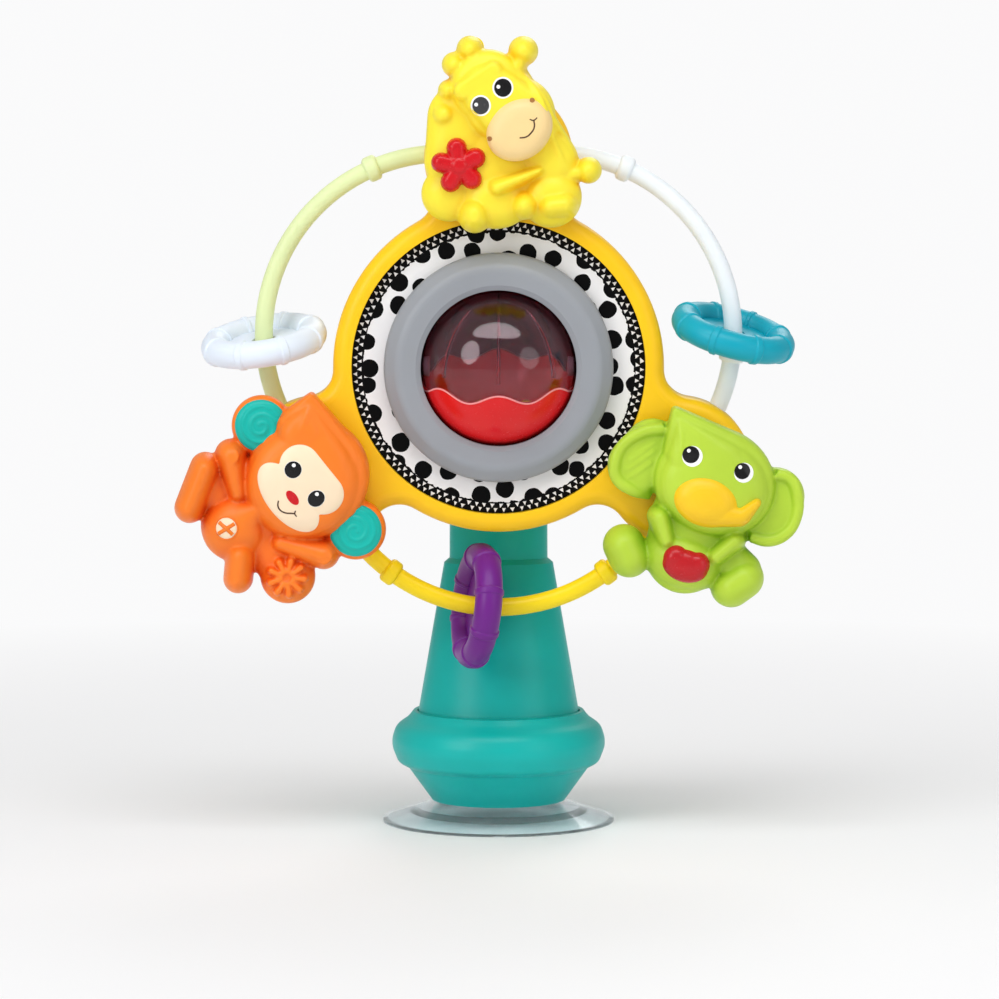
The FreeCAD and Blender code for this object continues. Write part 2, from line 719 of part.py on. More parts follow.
def build_printed_disc():
    ring = turned("disc_ring", [
        ("bezel_skirt_radius + play", "disc_face - disc_thickness"),
        ("disc_radius", "disc_face - disc_thickness"),
        ("disc_radius", "disc_face"),
        ("bezel_skirt_radius + play", "disc_face"),
    ])
    holes = []
    for n in range(3):
        x, y = spoke("bezel_screw_radius", 30 + 120 * n)
        holes.append(cylinder("disc_hole_%d" % n, "small_screw_radius + play", "4", x, y, "disc_face - 2"))
    return on_wheel(cut("printed_disc", ring, holes))


def build_bezel():
    """Grey ring that frames the ball and clamps the printed disc and the ball's retainer."""
    skirt_inside = "bezel_skirt_radius - bezel_skirt_wall"
    ring = turned("bezel_turned", [
        ("window_radius", "window_lip"),
        ("window_radius", "bezel_front - 1.0"),
        ("window_radius + 1.6", "bezel_front - 0.3"),
        ("bezel_plateau_radius", "bezel_front"),
        ("bezel_radius", "disc_face + bezel_side"),
        ("bezel_radius", "disc_face"),
        ("bezel_skirt_radius", "disc_face"),
        ("bezel_skirt_radius", "bezel_skirt_end"),
        (skirt_inside, "bezel_skirt_end"),
        (skirt_inside, "window_lip"),
    ], [("bezel_plateau_radius", "bezel_front", "4"), ("bezel_radius", "disc_face + bezel_side", "2.5"),
        ("bezel_radius", "disc_face", "0.5")])
    holes = []
    for n in range(3):
        x, y = spoke("bezel_screw_radius", 30 + 120 * n)
        holes.append(cylinder("bezel_hole_%d" % n, "small_screw_radius + running_gap", "3.4 + 1",
                              x, y, "disc_face - 1"))
    return on_wheel(cut("bezel_ring", ring, holes))


def build_retainer():
    """Ring inside the bezel that closes the ball's two bearings."""
    ring = turned("retainer_turned", [
        ("ball_radius + ball_gap", "ball_forward"),
        ("bezel_skirt_radius - bezel_skirt_wall - play", "ball_forward"),
        ("bezel_skirt_radius - bezel_skirt_wall - play", "window_lip - play"),
        ("ball_radius + ball_gap", "window_lip - play"),
    ])
    bore = cylinder("retainer_bore", "pin_radius + running_gap", "hub_radius * 1.3",
                    "-hub_radius * 0.65", "0", "ball_forward", ALONG_X)
    return on_wheel(cut("ball_retainer_ring", ring, [bore]))


# -------------------------------------------------------------------------- ball

BALL = WHEEL.multiply(Placement(Vector(0, 0, dim("ball_forward")),
                                Rotation(Vector(1, 0, 0), -90 + dim("ball_roll"))))


def build_ball():
    """Two half shells on an axle along x. The clear half points up and forward."""
    pieces = []
    for label, flip in (("ball_clear_dome", 0), ("ball_red_cup", 180)):
        outer = bind(doc.addObject("Part::Sphere", label + "_outer"), Radius="ball_radius")
        inner = bind(doc.addObject("Part::Sphere", label + "_inner"), Radius="ball_radius - ball_wall")
        outer.Angle1 = 0
        bore = cylinder(label + "_bore", "pin_radius + running_gap", "ball_radius * 3",
                        "-ball_radius * 1.5", "0", "0", ALONG_X)
        piece = cut(label, outer, [inner, bore])
        piece.Placement = BALL.multiply(Placement(Vector(0, 0, 0), Rotation(Vector(1, 0, 0), flip)))
        pieces.append(piece)
    inside = dim("ball_radius") - dim("ball_wall")
    head_far = math.sqrt(inside ** 2 - dim("pin_head_radius") ** 2) - dim("play")
    reach = dim("bezel_skirt_radius") - dim("bezel_skirt_wall") - 0.6
    pins = []
    for flip in (0, 180):
        shaft = Part.makeCylinder(dim("pin_radius"), reach - head_far, Vector(head_far, 0, 0), Vector(1, 0, 0))
        head = Part.makeCylinder(dim("pin_head_radius"), dim("pin_head"),
                                 Vector(head_far - dim("pin_head"), 0, 0), Vector(1, 0, 0))
        pin = shaft.fuse(head).removeSplitter()
        pin.rotate(Vector(0, 0, 0), Vector(0, 0, 1), flip)
        pin.Placement = BALL.multiply(pin.Placement)
        pins.append(pin)
    pieces.append(group("ball_axle_pins", pins))
    return pieces + build_beads(inside)


def build_beads(inside):
    """Loose beads that lie in rings on the floor of the hollow ball."""
    bead = dim("bead_radius")
    shell = inside - bead - dim("play")
    pitch = 2 * bead + 0.1
    first = math.degrees(2 * math.asin(pitch / (2 * shell))) + 0.4
    second = 2 * first
    centres = [(0.0, 0.0)]
    centres += [(first, 60.0 * n) for n in range(6)]
    around = int(2 * math.pi * shell * math.sin(math.radians(second)) / (pitch * 1.03))
    centres += [(second, 360.0 / around * (n + 0.5)) for n in range(around)]
    colours = {"ball_beads_green": [], "ball_beads_orange": [], "ball_beads_yellow": []}
    names = list(colours)
    middle = Vector(0, -dim("wheel_forward") - dim("ball_forward"), dim("hub_height"))
    for n, (tilt, turn) in enumerate(centres):
        out = shell * math.sin(math.radians(tilt))
        down = shell * math.cos(math.radians(tilt))
        at = middle + polar(out, turn) - Vector(0, 0, down)
        colours[names[n % 3]].append(Part.makeSphere(bead, at))
    return [group(name, shapes) for name, shapes in colours.items()]


# ---------------------------------------------------------------- rods and rings

def build_rods():
    """Three arc rods between the lobes, each bent round its own centre, with two stop knobs."""

    def knob_rim(edge):
        return (edge.Closed and hasattr(edge.Curve, "Radius")
                and abs(edge.Curve.Radius - dim("knob_radius")) < 0.01)

    rods = []
    for label, middle in ROD_ANGLES.items():
        parts = [rod_arc(label + "_bar", middle, "rod_radius", "2 * rod_half_angle")]
        for n, side in enumerate((-1, 1)):
            knob = rod_arc("%s_knob_%d" % (label, n), middle, "knob_radius",
                           "knob_length / rod_bend * 180 / 3.14159265", side * dim("knob_angle"))
            parts.append(rounded("%s_knob_%d_round" % (label, n), knob, "knob_bevel", knob_rim))
        rods.append(on_wheel(fuse(label, parts)))
    return rods


def ring_turn(middle, angle, lean, roll):
    """Placement of a ring: on its rod, square to it, then leaned on its hole."""
    square = Rotation(Vector(0, 0, 1), angle).multiply(Rotation(Vector(1, 0, 0), -90))
    lie = Rotation(Vector(1, 0, 0), lean).multiply(Rotation(Vector(0, 1, 0), roll))
    return Placement(on_rod(middle, angle), square.multiply(lie))


RINGS = {
    "ring_white": ("rod_left", 182.0, -12.0, -6.0),
    "ring_teal": ("rod_right", 0.5, 12.0, 15.0),
    "ring_purple": ("rod_bottom", 263.0, -13.0, 0.0),
}


def build_rings():
    """Ribbed rings with a thin web that slides on the rod and stops at the knobs."""
    rings = []
    tube = dim("ring_tube")
    for label, (rod, angle, lean, roll) in RINGS.items():
        body = bind(doc.addObject("Part::Torus", label + "_tube"), Radius1="ring_radius", Radius2="ring_tube")
        web = cylinder(label + "_web", "ring_radius - ring_tube * 0.5", "ring_web", z="-ring_web / 2")
        ribs = []
        count = int(dim("ring_rib_count"))
        sweep = math.degrees(dim("ring_rib_width") / (dim("ring_radius") + tube))
        for n in range(count):
            rib = bind(doc.addObject("Part::Torus", "%s_rib_%d" % (label, n)), Radius1="ring_radius",
                       Radius2="ring_tube + ring_rib_height",
                       Angle3="ring_rib_width / (ring_radius + ring_tube) * 180 / 3.14159265")
            rib.Placement = Placement(Vector(), Rotation(Vector(0, 0, 1), 360.0 / count * (n + 0.5) - sweep / 2))
            ribs.append(rib)
        whole = fuse(label + "_solid", [body, web] + ribs)
        piece = cut(label, whole, [cylinder(label + "_hole", "ring_hole", "ring_web * 3", z="-ring_web * 1.5")])
        piece.Placement = WHEEL.multiply(ring_turn(ROD_ANGLES[rod], angle, lean, roll))
        rings.append(piece)
    return rings


# ----------------------------------------------------------------------- figures

def slug_face(start, start_radius, end, end_radius):
    """Flat face round two circles and their outer tangents: a disc, capsule or teardrop."""
    gap = (end - start).Length
    if gap < 0.01:
        return Part.Face(Part.Wire(Part.makeCircle(start_radius, start)))
    heading = math.atan2(end.y - start.y, end.x - start.x)
    lean = math.acos((start_radius - end_radius) / gap)

    def on(centre, radius, angle):
        return centre + Vector(radius * math.cos(angle), radius * math.sin(angle), 0)

    upper = heading + lean
    lower = heading - lean
    first = Part.Arc(on(start, start_radius, upper), on(start, start_radius, heading + math.pi),
                     on(start, start_radius, lower)).toShape()
    second = Part.Arc(on(end, end_radius, lower), on(end, end_radius, heading),
                      on(end, end_radius, upper)).toShape()
    under = Part.LineSegment(on(start, start_radius, lower), on(end, end_radius, lower)).toShape()
    over = Part.LineSegment(on(end, end_radius, upper), on(start, start_radius, upper)).toShape()
    return Part.Face(Part.Wire([first, under, second, over]))


class Puff:
    """One soft raised form of a figure: a rounded disc, capsule, teardrop or oval."""

    def __init__(self, x, y, radius, height, to=None, end_radius=None, oval=None, turn=0.0):
        self.start = Vector(x, y, 0)
        self.end = Vector(to[0], to[1], 0) if to else self.start
        self.radius = radius
        self.end_radius = end_radius or radius
        self.height = height
        self.oval = oval
        self.turn = turn

    def face(self, inset=0.0):
        if self.oval:
            long, short = max(self.radius, self.oval) - inset, min(self.radius, self.oval) - inset
            curve = Part.Ellipse(Vector(), long, short).toShape()
            face = Part.Face(Part.Wire(curve))
            quarter = 0.0 if self.radius >= self.oval else 90.0
            face.Placement = Placement(self.start, Rotation(Vector(0, 0, 1), self.turn + quarter))
            return face
        smallest = 0.4
        return slug_face(self.start, max(self.radius - inset, smallest),
                         self.end, max(self.end_radius - inset, smallest))

    def is_solid(self):
        """Small forms are moulded solid, the larger ones hollow."""
        return min(self.radius, self.end_radius, self.oval or self.radius) < dim("solid_form_radius")

    def block(self, inset=0.0, low=0.0, lower_top=0.0, soft=0.62):
        """The form from the level low up to its height, its top edge rounded."""
        height = self.height - lower_top
        shape = self.face(inset).extrude(Vector(0, 0, height - low))
        shape.translate(Vector(0, 0, low))
        least = min(self.radius, self.end_radius, self.oval or self.radius) - inset
        fillet = min(soft * (height - low), 0.72 * least)
        top = [edge for edge in shape.Edges if abs(edge.BoundBox.ZMin - height) < 0.001]
        return shape.makeFillet(fillet, top) if fillet > 0.2 else shape


def refined(shape):
    """The shape with its split faces joined, where that keeps it whole."""
    clean = shape.copy().removeSplitter()
    same = abs(clean.Volume - shape.Volume) < 0.0001 * shape.Volume
    return clean if same and clean.isValid() else shape


def union(shapes):
    return refined(shapes[0].multiFuse(shapes[1:])) if len(shapes) > 1 else shapes[0]


def figure_place(figure, turn):
    """Placement of a figure on its lobe's post, turned about the post."""
    at = polar(dim("figure_pitch"), LOBE_ANGLES[figure])
    at.z = amount("front_depth + friction_washer + figure_gap")
    return WHEEL.multiply(Placement(at, Rotation(Vector(0, 0, 1), turn)))


def build_figure(figure, turn, puffs, inlays, screws):
    """Front shell, rear shell and inlays of one figure.

    Inlays map a label to (forms joined, forms that cover it, level it is set in, tops).
    A covering form that isn't one of the puffs is a notch in the inlay.
    """
    plate = dim("back_plate")
    wall = dim("figure_wall")
    lift = Placement(Vector(0, 0, plate), Rotation())
    over = [puff for puff in puffs if any(puff in inlay[1] for inlay in inlays.values())]
    under = union([puff.block() for puff in puffs if puff not in over])
    rooms = {}
    for label, (forms, covers, level, tops) in inlays.items():
        room = union([form.face(-dim("running_gap")).extrude(Vector(0, 0, 30)) for form in forms])
        room.translate(Vector(0, 0, level - dim("inlay_seat")))
        rooms[label] = room
        if any(cover in over for cover in covers):
            under = under.cut(room)
    front = union([under] + [puff.block() for puff in over]) if over else under
    hollows = [puff.block(inset=wall, low=-1.0, lower_top=wall, soft=0.3)
               for puff in puffs if not puff.is_solid()]
    front = front.cut(union(hollows))
    post_room = Part.makeCylinder(dim("post_head_radius") + 0.4, dim("figure_hub_height") + dim("post_head") + 1.0)
    front = front.cut(post_room)
    boss = dim("figure_boss_radius")
    for x, y in screws:
        tall = max(puff.height for puff in puffs if puff.face().isInside(Vector(x, y, 0), 0.01, True))
        pillar = Part.makeCylinder(boss, tall - wall + 0.2, Vector(x, y, 0))
        pillar = pillar.cut(Part.makeCylinder(dim("small_screw_radius") + dim("running_gap"), 4.2, Vector(x, y, -0.2)))
        front = front.fuse(pillar)
        front = front.cut(Part.makeCylinder(dim("small_screw_radius") + dim("running_gap"), 4.4, Vector(x, y, -0.2)))
    pieces = []
    for label, (forms, covers, level, tops) in inlays.items():
        for form, height in zip(forms, tops):
            form.height = height
        shape = union([form.block(low=level - dim("inlay_seat")) for form in forms])
        for cover in covers:
            clear = cover.face(-dim("running_gap")).extrude(Vector(0, 0, 40))
            clear.translate(Vector(0, 0, -5))
            shape = shape.cut(clear)
            if cover not in over:
                rooms[label] = rooms[label].cut(cover.face().extrude(Vector(0, 0, 40)))
        if not any(cover in over for cover in covers):
            front = front.cut(rooms[label])
        piece = solid(label, shape)
        piece.Placement = figure_place(figure, turn).multiply(lift)
        pieces.append(piece)
    shell = solid(figure + "_front_shell", refined(front))
    shell.Placement = figure_place(figure, turn).multiply(lift)
    inset = dim("back_inset")
    back = union([puff.face(inset).extrude(Vector(0, 0, plate)) for puff in puffs])
    back = back.fuse(Part.makeCylinder(dim("figure_hub_radius"), plate + dim("figure_hub_height") - 0.2))
    back = back.cut(Part.makeCylinder(dim("post_radius") + dim("running_gap"), 20.0, Vector(0, 0, -5)))
    heads = []
    for x, y in screws:
        back = back.cut(Part.makeCylinder(dim("small_screw_radius") + dim("play"), 10.0, Vector(x, y, -4)))
        back = back.cut(Part.makeCylinder(dim("small_head_radius") + dim("play"),
                                          dim("small_head_height") + 4.1, Vector(x, y, -4)))
        screw = screw_shape(dim("small_screw_radius"), plate - dim("small_head_height") + 3.6,
                            dim("small_head_radius"), dim("small_head_height"))
        at = Vector(x, y, dim("small_head_height") + 0.1)
        screw.Placement = figure_place(figure, turn).multiply(Placement(at, Rotation(Vector(1, 0, 0), 180)))
        heads.append(screw)
    rear = solid(figure + "_rear_shell", refined(back))
    rear.Placement = figure_place(figure, turn)
    return [shell, rear] + pieces + [group(figure + "_screws", heads)]


def build_giraffe():
    """Sitting giraffe with its head leaned over a flower."""
    puffs = [
        Puff(-11.6, 1.9, 10.6, 6.5, to=(-12.5, -11.6)),
        Puff(1.3, 11.0, 9.6, 7.5, to=(15.4, -11.9)),
        Puff(-15.4, -21.7, 8.7, 6.0),
        Puff(-1.0, -14.0, 16.5, 7.0),
        Puff(-1.0, -23.1, 11.6, 8.0, oval=9.6),
        Puff(16.4, -22.7, 9.6, 8.0),
        Puff(-7.9, -27.6, 4.6, 11.0, to=(-7.9, -29.2)),
        Puff(16.4, -25.5, 4.5, 11.0, to=(20.7, -25.1)),
        Puff(8.5, -25.2, 4.5, 11.5),
        Puff(13.2, -14.5, 3.2, 10.5, to=(-0.2, -20.1)),
        Puff(8.0, -13.5, 2.4, 10.0),
        Puff(28.1, -14.3, 3.8, 6.5),
        Puff(19.3, -16.4, 2.6, 5.5, to=(27.0, -14.5)),
        Puff(-3.4, 11.6, 11.6, 12.0),
        Puff(1.0, 6.6, 12.0, 12.2),
        Puff(5.8, 2.9, 11.9, 12.4),
        Puff(-9.9, 23.1, 3.9, 8.0, to=(-7.7, 23.8)),
        Puff(-8.2, 23.1, 3.0, 7.6, to=(-4.8, 17.3)),
        Puff(-14.0, 18.6, 3.9, 7.0),
        Puff(-15.4, 10.1, 3.2, 7.2),
        Puff(7.7, 22.9, 4.4, 8.2),
        Puff(7.2, 21.2, 2.9, 7.8, to=(4.8, 14.4)),
    ]
    petals = []
    for n in range(5):
        angle = math.radians(98 - 72 * n)
        petals.append(Puff(-12.2, -12.9, 2.4, 7.0, end_radius=3.2,
                           to=(-12.2 + 5.5 * math.cos(angle), -12.9 + 5.5 * math.sin(angle))))
    muzzle = Puff(6.3, -1.4, 10.7, 12.4, oval=9.1, turn=40.0)
    core = Puff(-12.2, -12.9, 3.4, 7.0)
    inlays = {
        "giraffe_muzzle": ([muzzle], [], 12.0, [14.4]),
        "giraffe_flower": ([core] + petals, [], 6.5, [10.5] + [9.8] * 5),
    }
    return build_figure("giraffe", 0.0, puffs, inlays, [(-3.4, 15.5), (-1.0, -20.0)])


def build_monkey():
    """Monkey with a pointed tuft, two round ears, a belly badge and a curled tail."""
    head = Puff(0.9, 7.0, 18.8, 12.0, oval=20.2)
    puffs = [
        head,
        Puff(-11.6, 15.4, 8.6, 11.0, to=(-18.4, 24.3), end_radius=1.3),
        Puff(-20.9, 6.4, 9.3, 5.6),
        Puff(22.9, 9.0, 9.3, 5.6),
        Puff(-20.2, -6.3, 4.5, 9.0, to=(-9.6, -12.5)),
        Puff(23.1, -2.9, 4.3, 9.0, to=(11.6, -11.6)),
        Puff(-0.5, -9.6, 11.6, 6.0, to=(-1.0, -19.3)),
        Puff(-1.0, -20.7, 10.9, 9.0),
        Puff(7.7, -15.4, 7.7, 4.8, to=(17.4, -16.4)),
        Puff(21.1, -16.7, 8.7, 6.0),
        Puff(-13.5, -18.5, 6.0, 5.0, to=(-19.0, -17.0)),
        Puff(-21.2, -15.9, 4.7, 10.0, to=(-14.9, -27.3)),
        Puff(6.7, -24.1, 4.6, 11.0, to=(11.7, -29.5)),
    ]
    ears = [Puff(-20.9, 6.4, 8.4, 5.6), Puff(22.9, 9.0, 8.4, 5.6)]
    face = [Puff(-3.9, 8.3, 6.9, 12.0), Puff(7.1, 8.3, 6.9, 12.0),
            Puff(1.6, 9.0, 6.2, 12.0), Puff(1.5, -0.4, 14.0, 12.0, oval=7.3)]
    badge = Puff(-2.9, -21.7, 3.9, 9.0)
    inlays = {
        "monkey_ears": (ears, [head, puffs[1], puffs[4], puffs[5]], 5.6, [6.4, 6.4]),
        "monkey_face": (face, [], 12.0, [12.8, 12.8, 12.75, 12.9]),
        "monkey_badge": ([badge], [], 9.0, [9.5]),
    }
    return build_figure("monkey", -51.5, puffs, inlays, [(0.9, 20.0), (-1.0, -15.5)])


def build_elephant():
    """Elephant with round ears, a trunk that sweeps up and a piece of fruit."""
    head = Puff(0.6, 2.9, 19.3, 12.0, oval=17.3)
    puffs = [
        head,
        Puff(-9.6, 9.6, 8.7, 11.4, to=(-17.9, 20.6), end_radius=1.4),
        Puff(-21.2, 7.7, 8.7, 6.0, to=(-24.0, 0.5), end_radius=9.2),
        Puff(20.2, 4.3, 9.3, 6.0, to=(19.8, -1.9), end_radius=10.0),
        Puff(-1.0, -9.6, 14.4, 7.0, to=(-1.0, -21.2), end_radius=12.8),
        Puff(-1.0, -23.1, 13.5, 10.0, oval=9.8),
        Puff(-20.2, -24.6, 6.6, 9.0, to=(-17.4, -27.6)),
        Puff(18.6, -23.1, 6.6, 9.0, to=(15.9, -26.8)),
        Puff(11.6, -18.3, 6.4, 6.5, to=(17.4, -21.2)),
        Puff(-12.5, -12.5, 3.9, 10.8, to=(-8.4, -18.6), end_radius=3.3),
        Puff(12.0, -12.5, 3.9, 10.8, to=(7.9, -18.9), end_radius=3.3),
    ]
    trunk = [Puff(-1.0, -3.9, 10.1, 12.0, oval=8.1), Puff(2.0, -7.2, 4.6, 12.0, to=(11.6, -5.4), end_radius=3.2),
             Puff(12.4, -4.9, 2.9, 12.0, to=(15.3, 0.7), end_radius=1.3)]
    fruit = [Puff(-4.2, -24.9, 4.4, 10.0), Puff(3.4, -24.9, 4.4, 10.0), Puff(-0.5, -25.6, 7.4, 10.0, oval=5.2)]
    bite = Puff(1.6, -18.3, 3.4, 10.0)
    inlays = {
        "elephant_trunk": (trunk, [], 12.0, [14.6, 14.2, 14.0]),
        "elephant_fruit": (fruit, [bite], 10.0, [11.6, 11.6, 12.0]),
    }
    return build_figure("elephant", -17.8, puffs, inlays, [(0.6, 13.5), (-1.0, -17.0)])


def build_posts():
    """Headed posts that the figures turn on, and the washers between figure and lobe."""
    posts = []
    washers = []
    for angle in LOBE_ANGLES.values():
        at = polar(dim("figure_pitch"), angle)
        level = amount("front_depth + friction_washer + figure_gap + back_plate + figure_hub_height")
        shaft = Part.makeCylinder(dim("post_radius"), level - dim("front_depth") + dim("post_depth"),
                                  Vector(0, 0, dim("front_depth") - dim("post_depth")))
        head = Part.makeCylinder(dim("post_head_radius"), dim("post_head"), Vector(0, 0, level))
        head = head.makeFillet(0.4, [head.Edges[0]])
        post = shaft.fuse(head).removeSplitter()
        post.Placement = WHEEL.multiply(Placement(at, Rotation()))
        posts.append(post)
        washer = Part.makeCylinder(dim("friction_washer_radius"), dim("friction_washer"))
        washer = washer.cut(Part.makeCylinder(dim("post_radius") + dim("running_gap"), 9, Vector(0, 0, -2)))
        washer.Placement = WHEEL.multiply(Placement(Vector(at.x, at.y, dim("front_depth")), Rotation()))
        washers.append(washer)
    return [group("figure_posts", posts), group("figure_washers", washers)]


# ------------------------------------------------------------------------- export

def check_document(pieces):
    """Stops when any object failed or a piece isn't a whole valid solid."""
    failed = [item.Name for item in doc.Objects
              if "Invalid" in item.State or "Error" in item.State]
    if failed:
        raise RuntimeError("failed objects: %s" % failed)
    for piece in pieces:
        shape = piece.Shape
        if shape.isNull() or not shape.isValid() or not shape.Solids:
            raise RuntimeError("%s is not a valid solid" % piece.Label)
        print("%-22s solids %2d  volume %9.1f" % (piece.Label, len(shape.Solids), shape.Volume))


pieces = []
pieces += build_suction_cup()
pieces.append(build_base_collar())
pieces += build_pillar()
pieces += build_axle_parts()
pieces += build_stand_screws()
pieces += [build_front_shell(), build_rear_shell()]
pieces += build_wheel_screws()
pieces += [build_printed_disc(), build_bezel(), build_retainer()]
pieces += build_ball()
pieces += build_rods()
pieces += build_rings()
pieces += build_giraffe()
pieces += build_monkey()
pieces += build_elephant()
pieces += build_posts()
doc.recompute()
check_document(pieces)

os.makedirs("parts", exist_ok=True)
for piece in pieces:
    piece.Shape.exportStep("parts/%s.step" % piece.Label)
print("%d pieces written" % len(pieces))
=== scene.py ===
"""Spinning wheel toy on a suction base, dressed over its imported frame.

Pieces are modelled in millimetres in the frame of what carries them, and are put in
their place in metres when they are finished.
"""

import logging
import math
from collections.abc import Callable, Iterable
from dataclasses import dataclass, field, replace
from enum import Enum

import bpy
from mathutils import Matrix, Vector
from mathutils.bvhtree import BVHTree


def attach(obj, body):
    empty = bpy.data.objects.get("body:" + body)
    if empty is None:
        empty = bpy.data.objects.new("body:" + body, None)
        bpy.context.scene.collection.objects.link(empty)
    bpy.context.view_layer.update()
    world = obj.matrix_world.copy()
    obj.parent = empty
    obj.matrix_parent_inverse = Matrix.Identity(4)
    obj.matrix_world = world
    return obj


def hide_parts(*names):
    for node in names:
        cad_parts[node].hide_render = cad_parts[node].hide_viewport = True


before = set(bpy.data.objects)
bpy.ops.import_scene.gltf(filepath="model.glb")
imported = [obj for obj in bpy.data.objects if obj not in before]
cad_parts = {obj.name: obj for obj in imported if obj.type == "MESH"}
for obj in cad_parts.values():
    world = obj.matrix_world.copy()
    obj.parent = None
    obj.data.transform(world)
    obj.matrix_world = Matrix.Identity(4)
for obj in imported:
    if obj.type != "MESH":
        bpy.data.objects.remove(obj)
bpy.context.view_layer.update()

log = logging.getLogger("wheel_toy")

MM = 0.001
HUB_HEIGHT = 150.0
WHEEL_FORWARD = 36.0
FIGURE_PITCH = 76.2
ROD_CENTRE = 19.7
ROD_BEND = 56.9
FIGURE_LEVEL = 12.5
BACK_PLATE = 2.2
BALL_FORWARD = 3.0
SMOOTH_ANGLE = 45.0
BAR_SIDES = 3
BAR_STEPS = 6
PAPER_WHITE = (0.96, 0.96, 0.965, 1.0)

Socket = bpy.types.NodeSocket
Thing = bpy.types.Object
Spot = tuple[float, float]
Tone = tuple[float, float, float]
Place = tuple[float, float, float]
Value = Socket | float | tuple[float, ...]

WHEEL = Matrix.Translation((0, -WHEEL_FORWARD, HUB_HEIGHT)) @ Matrix.Rotation(math.pi / 2, 4, "X")


# ------------------------------------------------------------------- small tools

def turned_by(degrees: float, axis: str) -> Matrix:
    """Rotation about an axis by an angle in degrees."""
    return Matrix.Rotation(math.radians(degrees), 4, axis)


def on_circle(radius: float, degrees: float) -> Vector:
    """Point of a circle about the origin, in the plane of x and y."""
    angle = math.radians(degrees)
    return Vector((radius * math.cos(angle), radius * math.sin(angle), 0))


def about(middle: Spot, radius: float, degrees: float) -> Spot:
    """Point of a circle about another point of the plane."""
    return tuple(Vector(middle) + on_circle(radius, degrees).xy)


def shade(tone: Tone, factor: float = 1.0) -> tuple[float, float, float, float]:
    """Linear colour of a screen tone.

    Args:
        tone: Red, green and blue from 0 to 255.
        factor: Share of the light that is kept.

    Returns:
        The linear colour with full alpha.
    """
    parts = []
    for value in tone:
        share = value / 255
        linear = share / 12.92 if share <= 0.04045 else ((share + 0.055) / 1.055) ** 2.4
        parts.append(min(1.0, linear * factor))
    return (*parts, 1.0)


def pick(*things: Thing) -> None:
    """Selects only these objects and makes the last one active.

    Args:
        things: The objects.
    """
    active = bpy.context.view_layer.objects.active
    if active is not None and active.mode != "OBJECT":
        bpy.ops.object.mode_set(mode="OBJECT")
    bpy.ops.object.select_all(action="DESELECT")
    for thing in things:
        thing.select_set(True)
    if things:
        bpy.context.view_layer.objects.active = things[-1]


def new_primitive(maker: Callable, **sizes: object) -> Thing:
    """Adds a primitive with nothing else selected.

    Args:
        maker: The operator that adds it.
        sizes: The operator's settings.

    Returns:
        The new object.
    """
    pick()
    maker(**sizes)
    return bpy.context.view_layer.objects.active


def edit(thing: Thing) -> None:
    """Opens an object for editing, with all of it selected.

    Args:
        thing: The object.
    """
    pick(thing)
    bpy.ops.object.mode_set(mode="EDIT")
    bpy.ops.mesh.select_all(action="SELECT")


def close_edit() -> None:
    """Goes back to object mode."""
    bpy.ops.object.mode_set(mode="OBJECT")


def select_faces(thing: Thing, test: Callable[[bpy.types.MeshPolygon], bool]) -> None:
    """Opens an object for editing with only some faces selected.

    Args:
        thing: The object.
        test: Function of a face that says whether it is selected.
    """
    edit(thing)
    bpy.ops.mesh.select_mode(type="FACE")
    bpy.ops.mesh.select_all(action="DESELECT")
    close_edit()
    for face in thing.data.polygons:
        face.select = bool(test(face))
    bpy.ops.object.mode_set(mode="EDIT")


def duplicate(thing: Thing) -> Thing:
    """A copy of an object with its own mesh.

    Args:
        thing: The object.

    Returns:
        The copy.
    """
    twin = thing.copy()
    twin.data = thing.data.copy()
    bpy.context.scene.collection.objects.link(twin)
    return twin


def join(things: list[Thing]) -> Thing:
    """One object made of several.

    Args:
        things: The objects.

    Returns:
        The joined object.
    """
    pick(*things)
    if len(things) > 1:
        bpy.ops.object.join()
    return bpy.context.view_layer.objects.active


def finish_with(thing: Thing, kind: str, **settings: object) -> Thing:
    """Adds a modifier to an object and applies it.

    Args:
        thing: The object.
        kind: The modifier's type.
        settings: The modifier's settings.

    Returns:
        The same object.
    """
    pick(thing)
    modifier = thing.modifiers.new(kind.lower(), kind)
    for key, value in settings.items():
        setattr(modifier, key, value)
    bpy.ops.object.modifier_apply(modifier=modifier.name)
    return thing


def soften(thing: Thing, grain: float, passes: int) -> Thing:
    """Melts overlapping closed forms into one skin and eases its creases.

    Args:
        thing: The joined forms.
        grain: Size of the skin's faces.
        passes: How often the creases are eased.

    Returns:
        The same object.
    """
    finish_with(thing, "REMESH", mode="VOXEL", voxel_size=grain, adaptivity=0.0)
    return finish_with(thing, "SMOOTH", factor=0.5, iterations=passes)


def cut_level(thing: Thing, **settings: bool) -> None:
    """Cuts an object at the plane of x and y.

    Args:
        thing: The object.
        settings: Whether the cut is closed, and which side is cleared.
    """
    edit(thing)
    bpy.ops.mesh.bisect(plane_co=(0, 0, 0), plane_no=(0, 0, 1), **settings)
    close_edit()


